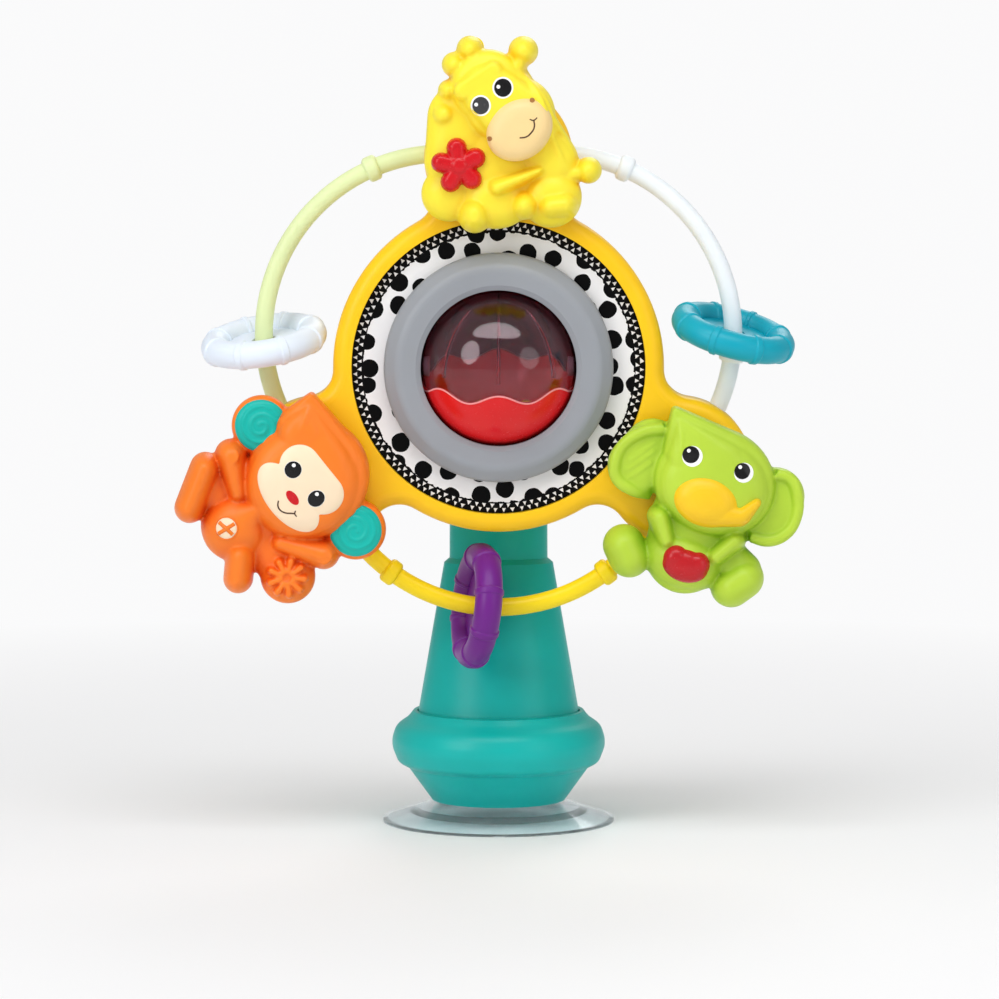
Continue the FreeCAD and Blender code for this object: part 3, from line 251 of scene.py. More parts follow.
def tube(points: list[Vector], radius: float, widths: tuple[float, ...] | None = None,
         closed: bool = False) -> Thing:
    """Round bar along a smooth line through some points.

    Args:
        points: Points of the line.
        radius: Radius of the bar.
        widths: Share of the radius at each point.
        closed: Whether the line is a loop.

    Returns:
        The bar as a mesh.
    """
    line = bpy.data.curves.new("line", "CURVE")
    line.dimensions = "3D"
    line.bevel_depth = radius
    line.bevel_resolution = BAR_SIDES
    line.resolution_u = BAR_STEPS
    line.use_fill_caps = True
    spline = line.splines.new("BEZIER")
    spline.bezier_points.add(len(points) - 1)
    for n, (knot, point) in enumerate(zip(spline.bezier_points, points)):
        knot.co = point
        knot.handle_left_type = knot.handle_right_type = "AUTO"
        knot.radius = widths[n] if widths else 1.0
    spline.use_cyclic_u = closed
    thing = bpy.data.objects.new("line", line)
    bpy.context.scene.collection.objects.link(thing)
    pick(thing)
    bpy.ops.object.convert(target="MESH")
    return bpy.context.view_layer.objects.active


class Ground:
    """Height of the surface of some objects above the plane of x and y."""

    def __init__(self, *things: Thing) -> None:
        """Takes the objects as they are now."""
        depsgraph = bpy.context.evaluated_depsgraph_get()
        self.trees = [BVHTree.FromObject(thing, depsgraph) for thing in things]

    def height(self, x: float, y: float) -> float:
        """Level of the topmost surface over a point, or 0 beside the objects."""
        tops = [tree.ray_cast(Vector((x, y, 80)), Vector((0, 0, -1)))[0] for tree in self.trees]
        return max([top.z for top in tops if top is not None], default=0.0)

    def lift(self, spots: Iterable[Spot], above: float) -> list[Vector]:
        """Points over the surface, a distance above it."""
        return [Vector((x, y, self.height(x, y) + above)) for x, y in spots]

    def drape(self, thing: Thing) -> Thing:
        """Lays a flat piece on the surface by raising each of its points.

        Args:
            thing: The piece.

        Returns:
            The same piece.
        """
        for point in thing.data.vertices:
            point.co.z += self.height(point.co.x, point.co.y)
        return thing


# ---------------------------------------------------------------------- finishes

class Gloss(Enum):
    """How matt a moulding is: its middle roughness."""

    SOFT = 0.5
    SATIN = 0.38
    BRIGHT = 0.24


class Board:
    """Node tree of one material, with short calls that add and join its nodes."""

    def __init__(self, name: str) -> None:
        """Starts a material with its shader and the object's own coordinates.

        Args:
            name: The material's name.
        """
        self.material = bpy.data.materials.new(name)
        self.material.use_nodes = True
        self.tree = self.material.node_tree
        self.shader = self.tree.nodes["Principled BSDF"]
        self.output = self.tree.nodes["Material Output"]
        self.place = self.add("ShaderNodeTexCoord").outputs["Object"]

    def add(self, kind: str, **settings: object) -> bpy.types.Node:
        """A new node.

        Args:
            kind: The node's type.
            settings: The node's settings.

        Returns:
            The node.
        """
        node = self.tree.nodes.new(kind)
        for key, value in settings.items():
            setattr(node, key, value)
        return node

    def feed(self, socket: Socket, value: Value) -> None:
        """Joins an output to a socket, or writes a plain value on it.

        Args:
            socket: The socket.
            value: The output or the plain value.
        """
        if isinstance(value, bpy.types.NodeSocket):
            self.tree.links.new(value, socket)
        else:
            socket.default_value = value

    def sum(self, operation: str, *values: Value) -> Socket:
        """Result of one arithmetic step.

        Args:
            operation: The step.
            values: What it works on.

        Returns:
            The result.
        """
        node = self.add("ShaderNodeMath", operation=operation)
        for socket, value in zip(node.inputs, values):
            self.feed(socket, value)
        return node.outputs[0]

    def wear(self, **parts: Value) -> None:
        """Feeds the shader's sockets, whose names are written with _ for a space."""
        for name, part in parts.items():
            self.feed(self.shader.inputs[name.replace("_", " ")], part)

    def noise(self, scale: float, detail: float, vector: Socket | None = None,
              colour: bool = False) -> Socket:
        """Cloudy noise over the object.

        Args:
            scale: Patches per metre.
            detail: Layers of finer noise.
            vector: Coordinates, by default the object's.
            colour: Whether the output has three parts.

        Returns:
            The noise's output.
        """
        node = self.add("ShaderNodeTexNoise")
        self.feed(node.inputs["Vector"], vector or self.place)
        node.inputs["Scale"].default_value = scale
        node.inputs["Detail"].default_value = detail
        return node.outputs[1 if colour else 0]

    def stretch(self, value: Socket, low: float, high: float, to_low: float = 0.0,
                to_high: float = 1.0) -> Socket:
        """Value moved from one range to another, clamped.

        Args:
            value: The value.
            low: Lower end of its range.
            high: Upper end of its range.
            to_low: Lower end of the new range.
            to_high: Upper end of the new range.

        Returns:
            The moved value.
        """
        node = self.add("ShaderNodeMapRange")
        for socket, part in zip(node.inputs, (value, low, high, to_low, to_high)):
            self.feed(socket, part)
        return node.outputs[0]

    def mix(self, share: Value, first: Value, second: Value) -> Socket:
        """Colour between two colours.

        Args:
            share: Share of the second colour.
            first: The first colour.
            second: The second colour.

        Returns:
            The colour.
        """
        node = self.add("ShaderNodeMix", data_type="RGBA")
        self.feed(node.inputs[0], share)
        self.feed(node.inputs[6], first)
        self.feed(node.inputs[7], second)
        return node.outputs[2]

    def bump(self, relief: Socket, strength: float, depth: float) -> Socket:
        """Normal of a fine relief.

        Args:
            relief: The relief's height.
            strength: Share of the relief that shows.
            depth: Its depth in metres.

        Returns:
            The normal.
        """
        node = self.add("ShaderNodeBump")
        node.inputs["Strength"].default_value = strength
        node.inputs["Distance"].default_value = depth
        self.feed(node.inputs["Height"], relief)
        return node.outputs[0]

    def from_point(self, centre: Place) -> Socket:
        """Distance from a point of the object.

        Args:
            centre: The point, in metres.

        Returns:
            The distance in metres.
        """
        node = self.add("ShaderNodeVectorMath", operation="DISTANCE")
        self.feed(node.inputs[0], self.place)
        node.inputs[1].default_value = centre
        return node.outputs["Value"]

    def split(self, vector: Socket) -> tuple[Socket, Socket, Socket]:
        """Takes a vector apart.

        Args:
            vector: The vector.

        Returns:
            Its three parts.
        """
        node = self.add("ShaderNodeSeparateXYZ")
        self.feed(node.inputs[0], vector)
        return tuple(node.outputs)


MADE: dict[str, bpy.types.Material] = {}


class Finish:
    """A named surface that is made into a material once."""

    name: str

    def make(self) -> bpy.types.Material:
        """Makes the material at its first use.

        Returns:
            The material.
        """
        if self.name not in MADE:
            board = Board(self.name)
            self.paint(board)
            MADE[self.name] = board.material
        return MADE[self.name]

    def paint(self, board: Board) -> None:
        """Adds the finish's own nodes."""
        raise NotImplementedError


@dataclass(frozen=True)
class Plastic(Finish):
    """Moulded plastic: a faint mottle in its colour, fine grain, an uneven gloss and, where given,
    painted shade in its creases.
    """

    name: str
    tone: Tone
    gloss: Gloss = Gloss.SATIN
    mottle: float = 0.05
    glow: float = 0.1
    painted_crease_shade: Tone | None = None
    painted_shade_reach: float = 0.008
    shine: float = 0.32
    uneven: float = 0.05

    def colour(self, board: Board) -> Socket:
        """Base colour: noise between two shades of the tone, and painted shade in creases, a deeper
        tone where ambient occlusion finds them.

        Args:
            board: The material's nodes.

        Returns:
            The colour.
        """
        darker, lighter = (shade(self.tone, 1 + sign * self.mottle) for sign in (-1, 1))
        plain = board.mix(board.stretch(board.noise(38.0, 3.0), 0.32, 0.68), darker, lighter)
        if self.painted_crease_shade is None:
            return plain
        # painted shade: creases found by ambient occlusion are darkened towards the deeper crease
        # tone
        occlusion_shade = board.add("ShaderNodeAmbientOcclusion", samples=8, only_local=True)
        occlusion_shade.inputs["Distance"].default_value = self.painted_shade_reach
        return board.mix(board.stretch(occlusion_shade.outputs["AO"], 0.42, 0.97), shade(self.painted_crease_shade), plain)

    def paint(self, board: Board) -> None:
        """Adds colour, gloss and relief.

        Args:
            board: The material's nodes.
        """
        grain = board.noise(1500.0, 2.0)
        waves = board.noise(120.0, 1.0)
        relief = board.sum("ADD", board.sum("MULTIPLY", waves, 0.7),
                           board.sum("MULTIPLY", grain, 0.06))
        middle = self.gloss.value
        board.wear(Base_Color=self.colour(board),
                   Roughness=board.stretch(grain, 0.25, 0.75, middle - self.uneven,
                                           middle + self.uneven),
                   Normal=board.bump(relief, 0.2, 0.0002),
                   Specular_IOR_Level=self.shine,
                   Subsurface_Weight=self.glow,
                   Subsurface_Radius=(1.0, 0.8, 0.6),
                   Subsurface_Scale=0.002)


@dataclass(frozen=True)
class ShadedBowlPlastic(Plastic):
    """Moulded plastic whose ball bowl is painted dark mauve inside, as painted shade."""

    bowl_painted_shade: Tone = (132, 72, 92)
    bowl_radius: float = 0.0271
    bowl_centre: Place = (0.0, -(WHEEL_FORWARD + BALL_FORWARD) * MM, HUB_HEIGHT * MM)

    def colour(self, board: Board) -> Socket:
        """The plain colour, and painted shade within the bowl.

        Args:
            board: The material's nodes.

        Returns:
            The colour.
        """
        plain = super().colour(board)
        # painted shade: the shell turns dark mauve within the bowl's radius of the ball's centre
        inside = board.sum("LESS_THAN", board.from_point(self.bowl_centre), self.bowl_radius)
        return board.mix(inside, plain, shade(self.bowl_painted_shade))


@dataclass(frozen=True)
class ClearPlastic(Finish):
    """See-through plastic with a faint tint and flow marks."""

    name: str
    tone: Tone
    roughness: float = 0.03
    clearness: float = 1.0
    refraction: float = 1.45
    uneven: float = 0.05

    def paint(self, board: Board) -> None:
        """Adds tint, clearness and flow marks.

        Args:
            board: The material's nodes.
        """
        share = board.stretch(board.noise(60.0, 2.0), 0.3, 0.7)
        marks = board.noise(90.0, 1.0)
        board.wear(Base_Color=board.mix(share, shade(self.tone, 0.97), shade(self.tone, 1.02)),
                   Roughness=board.stretch(marks, 0.2, 0.8, self.roughness,
                                           self.roughness + self.uneven),
                   Normal=board.bump(marks, 0.1, 0.0002),
                   Transmission_Weight=self.clearness,
                   IOR=self.refraction)


@dataclass(frozen=True)
class Steel(Finish):
    """Plated steel of the screws, with turning marks."""

    name: str
    tone: Tone = (190, 192, 196)

    def paint(self, board: Board) -> None:
        """Adds metal with fine marks.

        Args:
            board: The material's nodes.
        """
        marks = board.noise(2600.0, 3.0)
        board.wear(Base_Color=board.mix(marks, shade(self.tone, 0.85), shade(self.tone)),
                   Roughness=board.stretch(marks, 0.2, 0.8, 0.28, 0.45),
                   Metallic=1.0)


@dataclass(frozen=True)
class PrintedCard(Finish):
    """Satin card with loose round dots and a dark edge band of small triangles."""

    name: str
    paper: Tone = (232, 232, 234)
    ink: Tone = (4, 4, 5)
    hub: float = HUB_HEIGHT * MM
    dot_pitch: float = 0.0083
    dot_scatter: float = 0.45
    dot_sizes: tuple[float, float] = (0.31, 0.37)
    dot_ripple: float = 0.0008
    band_inside: float = 0.0424
    band_ripple: float = 0.0016
    row_radii: tuple[float, float] = (0.0437, 0.0451)
    row_count: int = 108
    row_ripple: float = 0.5
    triangle: float = 0.0013

    def triangles(self, board: Board, radius: Socket, angle: Socket, row: float,
                  shift: float) -> Socket:
        """Mask of one row of small triangles.

        Args:
            board: The material's nodes.
            radius: Distance from the hub's axis.
            angle: Angle about it.
            row: Radius of the row.
            shift: Share of a pitch that the row is turned by.

        Returns:
            1 inside a triangle and 0 outside.
        """
        steps = board.sum("MULTIPLY", angle, self.row_count / (2 * math.pi))
        wobble = board.sum("MULTIPLY", board.noise(260.0, 0.0), self.row_ripple)
        along = board.sum("FRACT", board.sum("ADD", board.sum("ADD", steps, shift), wobble))
        off = board.sum("ABSOLUTE", board.sum("SUBTRACT", along, 0.5))
        across = board.sum("MULTIPLY", off, 4 * math.pi * row / self.row_count)
        over = board.sum("SUBTRACT", radius, row - self.triangle / 2)
        up = board.sum("DIVIDE", over, self.triangle)
        room = board.sum("MULTIPLY", board.sum("SUBTRACT", 1.0, up), self.triangle)
        inside = board.sum("LESS_THAN", across, room)
        return board.sum("MULTIPLY", inside, board.sum("GREATER_THAN", up, 0.0))

    def paint(self, board: Board) -> None:
        """Adds the print and the card's fibre.

        Args:
            board: The material's nodes.
        """
        x, _, z = board.split(board.place)
        up = board.sum("SUBTRACT", z, self.hub)
        flat = board.add("ShaderNodeCombineXYZ")
        board.feed(flat.inputs[0], x)
        board.feed(flat.inputs[1], up)
        squares = board.sum("ADD", board.sum("MULTIPLY", x, x), board.sum("MULTIPLY", up, up))
        radius = board.sum("SQRT", squares)
        angle = board.sum("ARCTAN2", up, x)
        drift = board.add("ShaderNodeVectorMath", operation="MULTIPLY_ADD")
        ripple = (self.dot_ripple, self.dot_ripple, 0.0)
        drifting = (board.noise(300.0, 1.0, flat.outputs[0], True), ripple, flat.outputs[0])
        for socket, part in zip(drift.inputs, drifting):
            board.feed(socket, part)
        cells = board.add("ShaderNodeTexVoronoi", voronoi_dimensions="2D", feature="F1")
        board.feed(cells.inputs["Vector"], drift.outputs[0])
        cells.inputs["Scale"].default_value = 1 / self.dot_pitch
        cells.inputs["Randomness"].default_value = self.dot_scatter
        size = board.stretch(board.split(cells.outputs["Color"])[0], 0.0, 1.0, *self.dot_sizes)
        dots = board.sum("LESS_THAN", cells.outputs["Distance"], size)
        rag = board.sum("SUBTRACT", board.noise(700.0, 1.0), 0.5)
        reach = board.sum("ADD", radius, board.sum("MULTIPLY", rag, self.band_ripple))
        inked = board.sum("MAXIMUM", dots, board.sum("GREATER_THAN", reach, self.band_inside))
        rows = [self.triangles(board, radius, angle, row, 0.5 * n)
                for n, row in enumerate(self.row_radii)]
        left = board.sum("SUBTRACT", 1.0, board.sum("MAXIMUM", *rows))
        share = board.sum("MULTIPLY", inked, left)
        fibre = board.noise(900.0, 3.0)
        board.wear(Base_Color=board.mix(share, shade(self.paper), shade(self.ink)),
                   Roughness=board.stretch(fibre, 0.2, 0.8, 0.42, 0.52),
                   Normal=board.bump(fibre, 0.08, 0.0001),
                   Specular_IOR_Level=0.08)


@dataclass(frozen=True)
class Floor(Finish):
    """Pale floor that keeps shadows near the toy and fades into the white round it."""

    name: str = "studio_floor"
    tone: Tone = (250, 250, 251)
    near: float = 0.14
    far: float = 0.6

    def paint(self, board: Board) -> None:
        """Adds the floor's colour and its fade.

        Args:
            board: The material's nodes.
        """
        cloud = board.noise(6.0, 2.0)
        board.wear(Base_Color=board.mix(cloud, shade(self.tone, 0.98), shade(self.tone)),
                   Roughness=0.6)
        white = board.add("ShaderNodeEmission")
        white.inputs["Color"].default_value = PAPER_WHITE
        fade = board.stretch(board.from_point((0, 0, 0)), self.near, self.far)
        rays = board.add("ShaderNodeLightPath").outputs
        mirrored = board.sum("MAXIMUM", rays["Is Glossy Ray"], rays["Is Transmission Ray"])
        seen = board.sum("MAXIMUM", rays["Is Camera Ray"], mirrored)
        blend = board.add("ShaderNodeMixShader")
        parts = (board.sum("MULTIPLY", fade, seen), board.shader.outputs[0], white.outputs[0])
        for socket, part in zip(blend.inputs, parts):
            board.feed(socket, part)
        board.feed(board.output.inputs["Surface"], blend.outputs[0])


TEAL = Plastic("teal_plastic", (0, 178, 172))
CLIP = Plastic("clip_plastic", (236, 238, 238))
# the wheel yellow carries painted shade, dark mauve, inside the ball's bowl
YELLOW = ShadedBowlPlastic("wheel_yellow_plastic", (251, 198, 14))
GREY = Plastic("bezel_grey_plastic", (150, 154, 160), mottle=0.03)
BEARING = Plastic("bearing_plastic", (206, 206, 204), Gloss.SOFT)
# painted shade: the retainer is made dark for the shadow line at the window's edge
SHADE_RETAINER = Plastic("retainer_painted_shade", (60, 50, 56), Gloss.SOFT)
CLEAR = ClearPlastic("clear_dome_plastic", (238, 198, 214))
CUP_CLEAR = ClearPlastic("suction_clear_vinyl", (240, 248, 250), 0.08, 0.94, 1.22)
RED = Plastic("ball_red_plastic", (226, 24, 28), Gloss.BRIGHT)
RIB = ClearPlastic("dome_rib_plastic", (240, 170, 180), 0.05)
# painted highlight: pale pink for the lit edge of the clear half along its seam
SEAM_HIGHLIGHT = Plastic("dome_edge_painted_highlight", (250, 150, 150), Gloss.BRIGHT, 0.04, 0.3)
LIME_ROD = Plastic("pale_lime_rod_plastic", (222, 234, 176))
WHITE_ROD = Plastic("white_rod_plastic", (238, 244, 248), mottle=0.02)
YELLOW_ROD = Plastic("yellow_rod_plastic", (255, 222, 20))
WHITE_RING = Plastic("white_ring_plastic", (226, 235, 247), mottle=0.02)
TEAL_RING = Plastic("blue_teal_ring_plastic", (0, 164, 186))
PURPLE_RING = Plastic("purple_ring_plastic", (108, 26, 134))
# the crease tones of the three figure plastics below are painted shade in their creases
LEMON = Plastic("giraffe_lemon_plastic", (250, 230, 58), mottle=0.03, glow=0.15,
                painted_crease_shade=(244, 192, 18))
PEACH = Plastic("muzzle_peach_plastic", (243, 212, 150))
FLOWER = Plastic("flower_red_plastic", (208, 16, 28), Gloss.BRIGHT)
ORANGE = Plastic("monkey_orange_plastic", (246, 126, 34), painted_crease_shade=(222, 78, 10))
CREAM = Plastic("face_cream_plastic", (251, 226, 194))
EAR_TEAL = Plastic("ear_teal_plastic", (0, 178, 166))
LIME = Plastic("elephant_lime_plastic", (182, 212, 62), painted_crease_shade=(134, 178, 26))
TRUNK = Plastic("trunk_yellow_plastic", (244, 198, 30))
FRUIT = Plastic("fruit_red_plastic", (188, 26, 34), Gloss.BRIGHT)
BLACK_INK = Plastic("black_ink", (16, 15, 17), Gloss.BRIGHT, 0.1, 0.0)
GREY_INK = Plastic("worn_black_ink", (58, 57, 60), Gloss.BRIGHT, 0.1, 0.0)
WHITE_INK = Plastic("white_ink", (246, 246, 246), Gloss.BRIGHT, 0.02, 0.0)
BROWN_INK = Plastic("brown_ink", (74, 44, 26), mottle=0.1, glow=0.0)
TAN_INK = Plastic("tan_ink", (166, 112, 62), mottle=0.1, glow=0.0)
CARD = PrintedCard("printed_card")
STEEL = Steel("screw_steel")
GREEN_BEAD = Plastic("bead_green_plastic", (150, 190, 40), Gloss.BRIGHT)
ORANGE_BEAD = Plastic("bead_orange_plastic", (240, 140, 40), Gloss.BRIGHT)
YELLOW_BEAD = Plastic("bead_yellow_plastic", (240, 205, 60), Gloss.BRIGHT)


def dress(finish: Finish, *nodes: str) -> None:
    """Gives carried-over nodes their finish.

    Args:
        finish: The finish.
        nodes: The nodes' names.
    """
    material = finish.make()
    for name in nodes:
        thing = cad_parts[name]
        for slot in thing.material_slots:
            slot.material = material
        log.info("%s dressed in %s", name, finish.name)


def settle(thing: Thing, name: str, place: Matrix, finish: Finish, body: str,
           nodes: tuple[str, ...] = ()) -> None:
    """Puts a finished piece in its place, dresses it and seats it on its body.

    Args:
        thing: The piece, in millimetres.
        name: Its name.
        place: Where it goes, in millimetres.
        finish: Its finish.
        body: The body that it moves with.
        nodes: Nodes that it stands for.
    """
    thing.name = name
    thing.data.name = name
    thing.data.transform(Matrix.Scale(MM, 4) @ place)
    thing.data.materials.clear()
    thing.data.materials.append(finish.make())
    pick(thing)
    bpy.ops.object.shade_smooth_by_angle(angle=math.radians(SMOOTH_ANGLE))
    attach(thing, body)
    if nodes:
        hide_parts(*nodes)
    log.info("%s on %s, %d faces", name, body, len(thing.data.polygons))


# ------------------------------------------------------------------- soft forms

@dataclass(frozen=True)
class Form:
    """One soft raised form: a round or oval dome, or a run between two domes."""

    x: float
    y: float
    radius: float
    height: float
    to: Spot | None = None
    end_radius: float | None = None
    end_height: float | None = None
    oval: float | None = None
    turn: float = 0.0
    base: float = 0.0
    full: float = 2.2


@dataclass(frozen=True)
class Ridge:
    """A raised line on the forms."""

    spots: tuple[Spot, ...]
    radius: float
    rise: float = 0.3
    widths: tuple[float, ...] | None = None


@dataclass
class DomeMould:
    """Unit domes that every soft form is copied from, one for each fullness."""

    sides: int = 48
    steps: int = 8
    top: float = 86.0
    skirt: float = 0.25
    masters: dict[float, Thing] = field(default_factory=dict)

    def master(self, fullness: float) -> Thing:
        """The dome of one fullness, raised from a disc step by step at its first use.

        Args:
            fullness: The fullness.

        Returns:
            The dome.
        """
        if fullness in self.masters:
            return self.masters[fullness]
        dome = new_primitive(bpy.ops.mesh.primitive_circle_add, vertices=self.sides, radius=1.0,
                             fill_type="NGON", location=(0, 0, -self.skirt))
        bpy.ops.object.transform_apply(location=True, rotation=False, scale=False)
        edit(dome)
        level, size = -self.skirt, 1.0
        for n in range(self.steps + 1):
            angle = math.radians(self.top) * n / self.steps
            wide = math.cos(angle) ** (2 / fullness)
            high = math.sin(angle) ** (2 / fullness)
            bpy.ops.mesh.extrude_region_move(TRANSFORM_OT_translate={"value": (0, 0, high - level)})
            share = wide / size
            bpy.ops.transform.resize(value=(share, share, 1), center_override=(0, 0, high))
            level, size = high, wide
        bpy.ops.mesh.select_all(action="SELECT")
        bpy.ops.mesh.normals_make_consistent(inside=False)
        close_edit()
        self.masters[fullness] = dome
        return dome

    def dome(self, form: Form, at: Spot, wide: float, deep: float, height: float) -> Thing:
        """One copy of the form's dome.

        Args:
            form: The form.
            at: Its middle.
            wide: Its half width.
            deep: Its half depth.
            height: Its height.

        Returns:
            The copy at its size and place.
        """
        thing = duplicate(self.master(form.full))
        place = Matrix.Translation((*at, form.base)) @ turned_by(form.turn, "Z")
        thing.data.transform(place @ Matrix.Diagonal((wide, deep, height, 1)))
        return thing

    def cast(self, form: Form) -> Thing:
        """Casts a form.

        Args:
            form: The form.

        Returns:
            The form as a closed mesh.
        """
        deep = form.oval or form.radius
        first = self.dome(form, (form.x, form.y), form.radius, deep, form.height)
        if form.to is None:
            return first
        end = form.end_radius or form.radius
        second = self.dome(form, form.to, end, end, form.end_height or form.height)
        whole = join([first, second])
        edit(whole)
        bpy.ops.mesh.convex_hull()
        close_edit()
        return whole

    def remove(self) -> None:
        """Deletes the master domes."""
        for dome in self.masters.values():
            bpy.data.objects.remove(dome)


@dataclass(frozen=True)
class Eye:
    """Print of one eye: a white ring, a dark disc and a glint."""

    x: float
    y: float
    wide: float
    high: float
    border: Spot
    glint: Spot
    shift: Spot = (0.0, 0.0)
    glint_size: float = 0.6
    levels: tuple[float, float, float] = (0.03, 0.06, 0.09)
    ink: Plastic = BLACK_INK


@dataclass
class Figure:
    """Base of the three animal figures, modelled in the frame of its own back plate."""

    name: str
    lobe: float
    turn: float
    finish: Plastic
    mould: DomeMould
    grain: float = 0.5
    passes: int = 5
    inlay_passes: int = 2
    room_radius: float = 5.9
    room_height: float = 3.4
    ink_sides: int = 40
    ink_rings: int = 4
    ink_sink: float = 0.12
    line_sink: float = 0.35
    forms: list[Form] = field(default_factory=list)
    ridges: list[Ridge] = field(default_factory=list)
    place: Matrix = field(init=False)
    ground: Ground = field(init=False)

    def __post_init__(self) -> None:
        """Works out the figure's place on its lobe."""
        at = on_circle(FIGURE_PITCH, self.lobe)
        at.z = FIGURE_LEVEL
        self.place = (WHEEL @ Matrix.Translation(at) @ turned_by(self.turn, "Z")
                      @ Matrix.Translation((0, 0, BACK_PLATE)))

    def melt(self, forms: Iterable[Form], ridges: Iterable[Ridge], grain: float,
             passes: int) -> Thing:
        """Melts forms, and ridges laid over them, into one skin.

        Args:
            forms: The soft forms.
            ridges: The raised lines.
            grain: Size of the skin's faces.
            passes: How often its creases are eased.

        Returns:
            The skin.
        """
        whole = join([self.mould.cast(form) for form in forms])
        raw = Ground(whole)
        bars = [tube(raw.lift(ridge.spots, ridge.rise - ridge.radius), ridge.radius, ridge.widths)
                for ridge in ridges]
        return soften(join(bars + [whole]), grain, passes)

    def shell(self) -> Thing:
        """Melts the front shell and cuts the room for its post.

        Returns:
            The shell, in the figure's frame.
        """
        whole = self.melt(self.forms, self.ridges, self.grain, self.passes)
        cut_level(whole, use_fill=True, clear_inner=True)
        cutter = new_primitive(bpy.ops.mesh.primitive_cylinder_add, vertices=64,
                               radius=self.room_radius, depth=self.room_height * 2)
        finish_with(whole, "BOOLEAN", operation="DIFFERENCE", solver="EXACT", object=cutter)
        bpy.data.objects.remove(cutter)
        self.ground = Ground(whole)
        return whole

    def keep(self, thing: Thing, label: str, finish: Finish, slot: str, *nodes: str) -> None:
        """Settles one piece of the figure on the figure's body."""
        settle(thing, f"{self.name}_{label}", self.place, finish, self.name, nodes)

    def keep_shells(self, shell: Thing, slot: str) -> None:
        """Settles the front shell and dresses the rear one."""
        self.keep(shell, "skin", self.finish, slot, f"{self.name}_front_shell")
        dress(self.finish, f"{self.name}_rear_shell")

    def inlay(self, forms: list[Form], grain: float = 0.32, ridges: tuple[Ridge, ...] = (),
              draped: bool = False, full: float = 3.0) -> Thing:
        """A coloured insert of a figure.

        Args:
            forms: Its soft forms.
            grain: Size of its skin's faces.
            ridges: Raised lines on it.
            draped: Whether its levels are over the shell's surface instead of the back plate.
            full: Fullness of its forms.

        Returns:
            The insert, in the figure's frame.
        """
        filled = [replace(form, full=full) for form in forms]
        whole = self.melt(filled, ridges, grain, self.inlay_passes)
        return self.ground.drape(whole) if draped else whole

    def disc(self, ground: Ground, at: Spot, wide: float, high: float, above: float) -> Thing:
        """A thin printed disc that lies on the surface.

        Args:
            ground: The surface.
            at: Its middle.
            wide: Its half width.
            high: Its half height.
            above: How far its face stands over the surface.

        Returns:
            The disc, in the figure's frame.
        """
        thing = new_primitive(bpy.ops.mesh.primitive_circle_add, vertices=self.ink_sides,
                              radius=1.0, fill_type="NGON")
        edit(thing)
        for _ in range(self.ink_rings):
            bpy.ops.mesh.inset(thickness=0.8 / self.ink_rings)
        close_edit()
        stretch = Matrix.Diagonal((wide, high, 1, 1))
        thing.data.transform(Matrix.Translation((*at, above)) @ stretch)
        ground.drape(thing)
        return finish_with(thing, "SOLIDIFY", thickness=above + self.ink_sink, offset=-1.0)

    def line(self, ground: Ground, radius: float, *spots: Spot) -> Thing:
        """A thin printed line that lies on the surface."""
        return tube(ground.lift(spots, -radius * self.line_sink), radius)

    def print_eyes(self, ground: Ground, slot: str, *eyes: Eye) -> None:
        """Prints the eyes.

        Args:
            ground: The surface.
            slot: Not used.
            eyes: The eyes.
        """
        for n, eye in enumerate(eyes):
            wide, high = eye.wide + eye.border[0], eye.high + eye.border[1]
            discs = (("eye_ring", eye.shift, wide, high, WHITE_INK),
                     ("eye", (0.0, 0.0), eye.wide, eye.high, eye.ink),
                     ("eye_glint", eye.glint, eye.glint_size, eye.glint_size, WHITE_INK))
            for (label, off, wide, high, ink), level in zip(discs, eye.levels):
                at = (eye.x + off[0], eye.y + off[1])
                self.keep(self.disc(ground, at, wide, high, level), f"{label}_{n}", ink, slot)


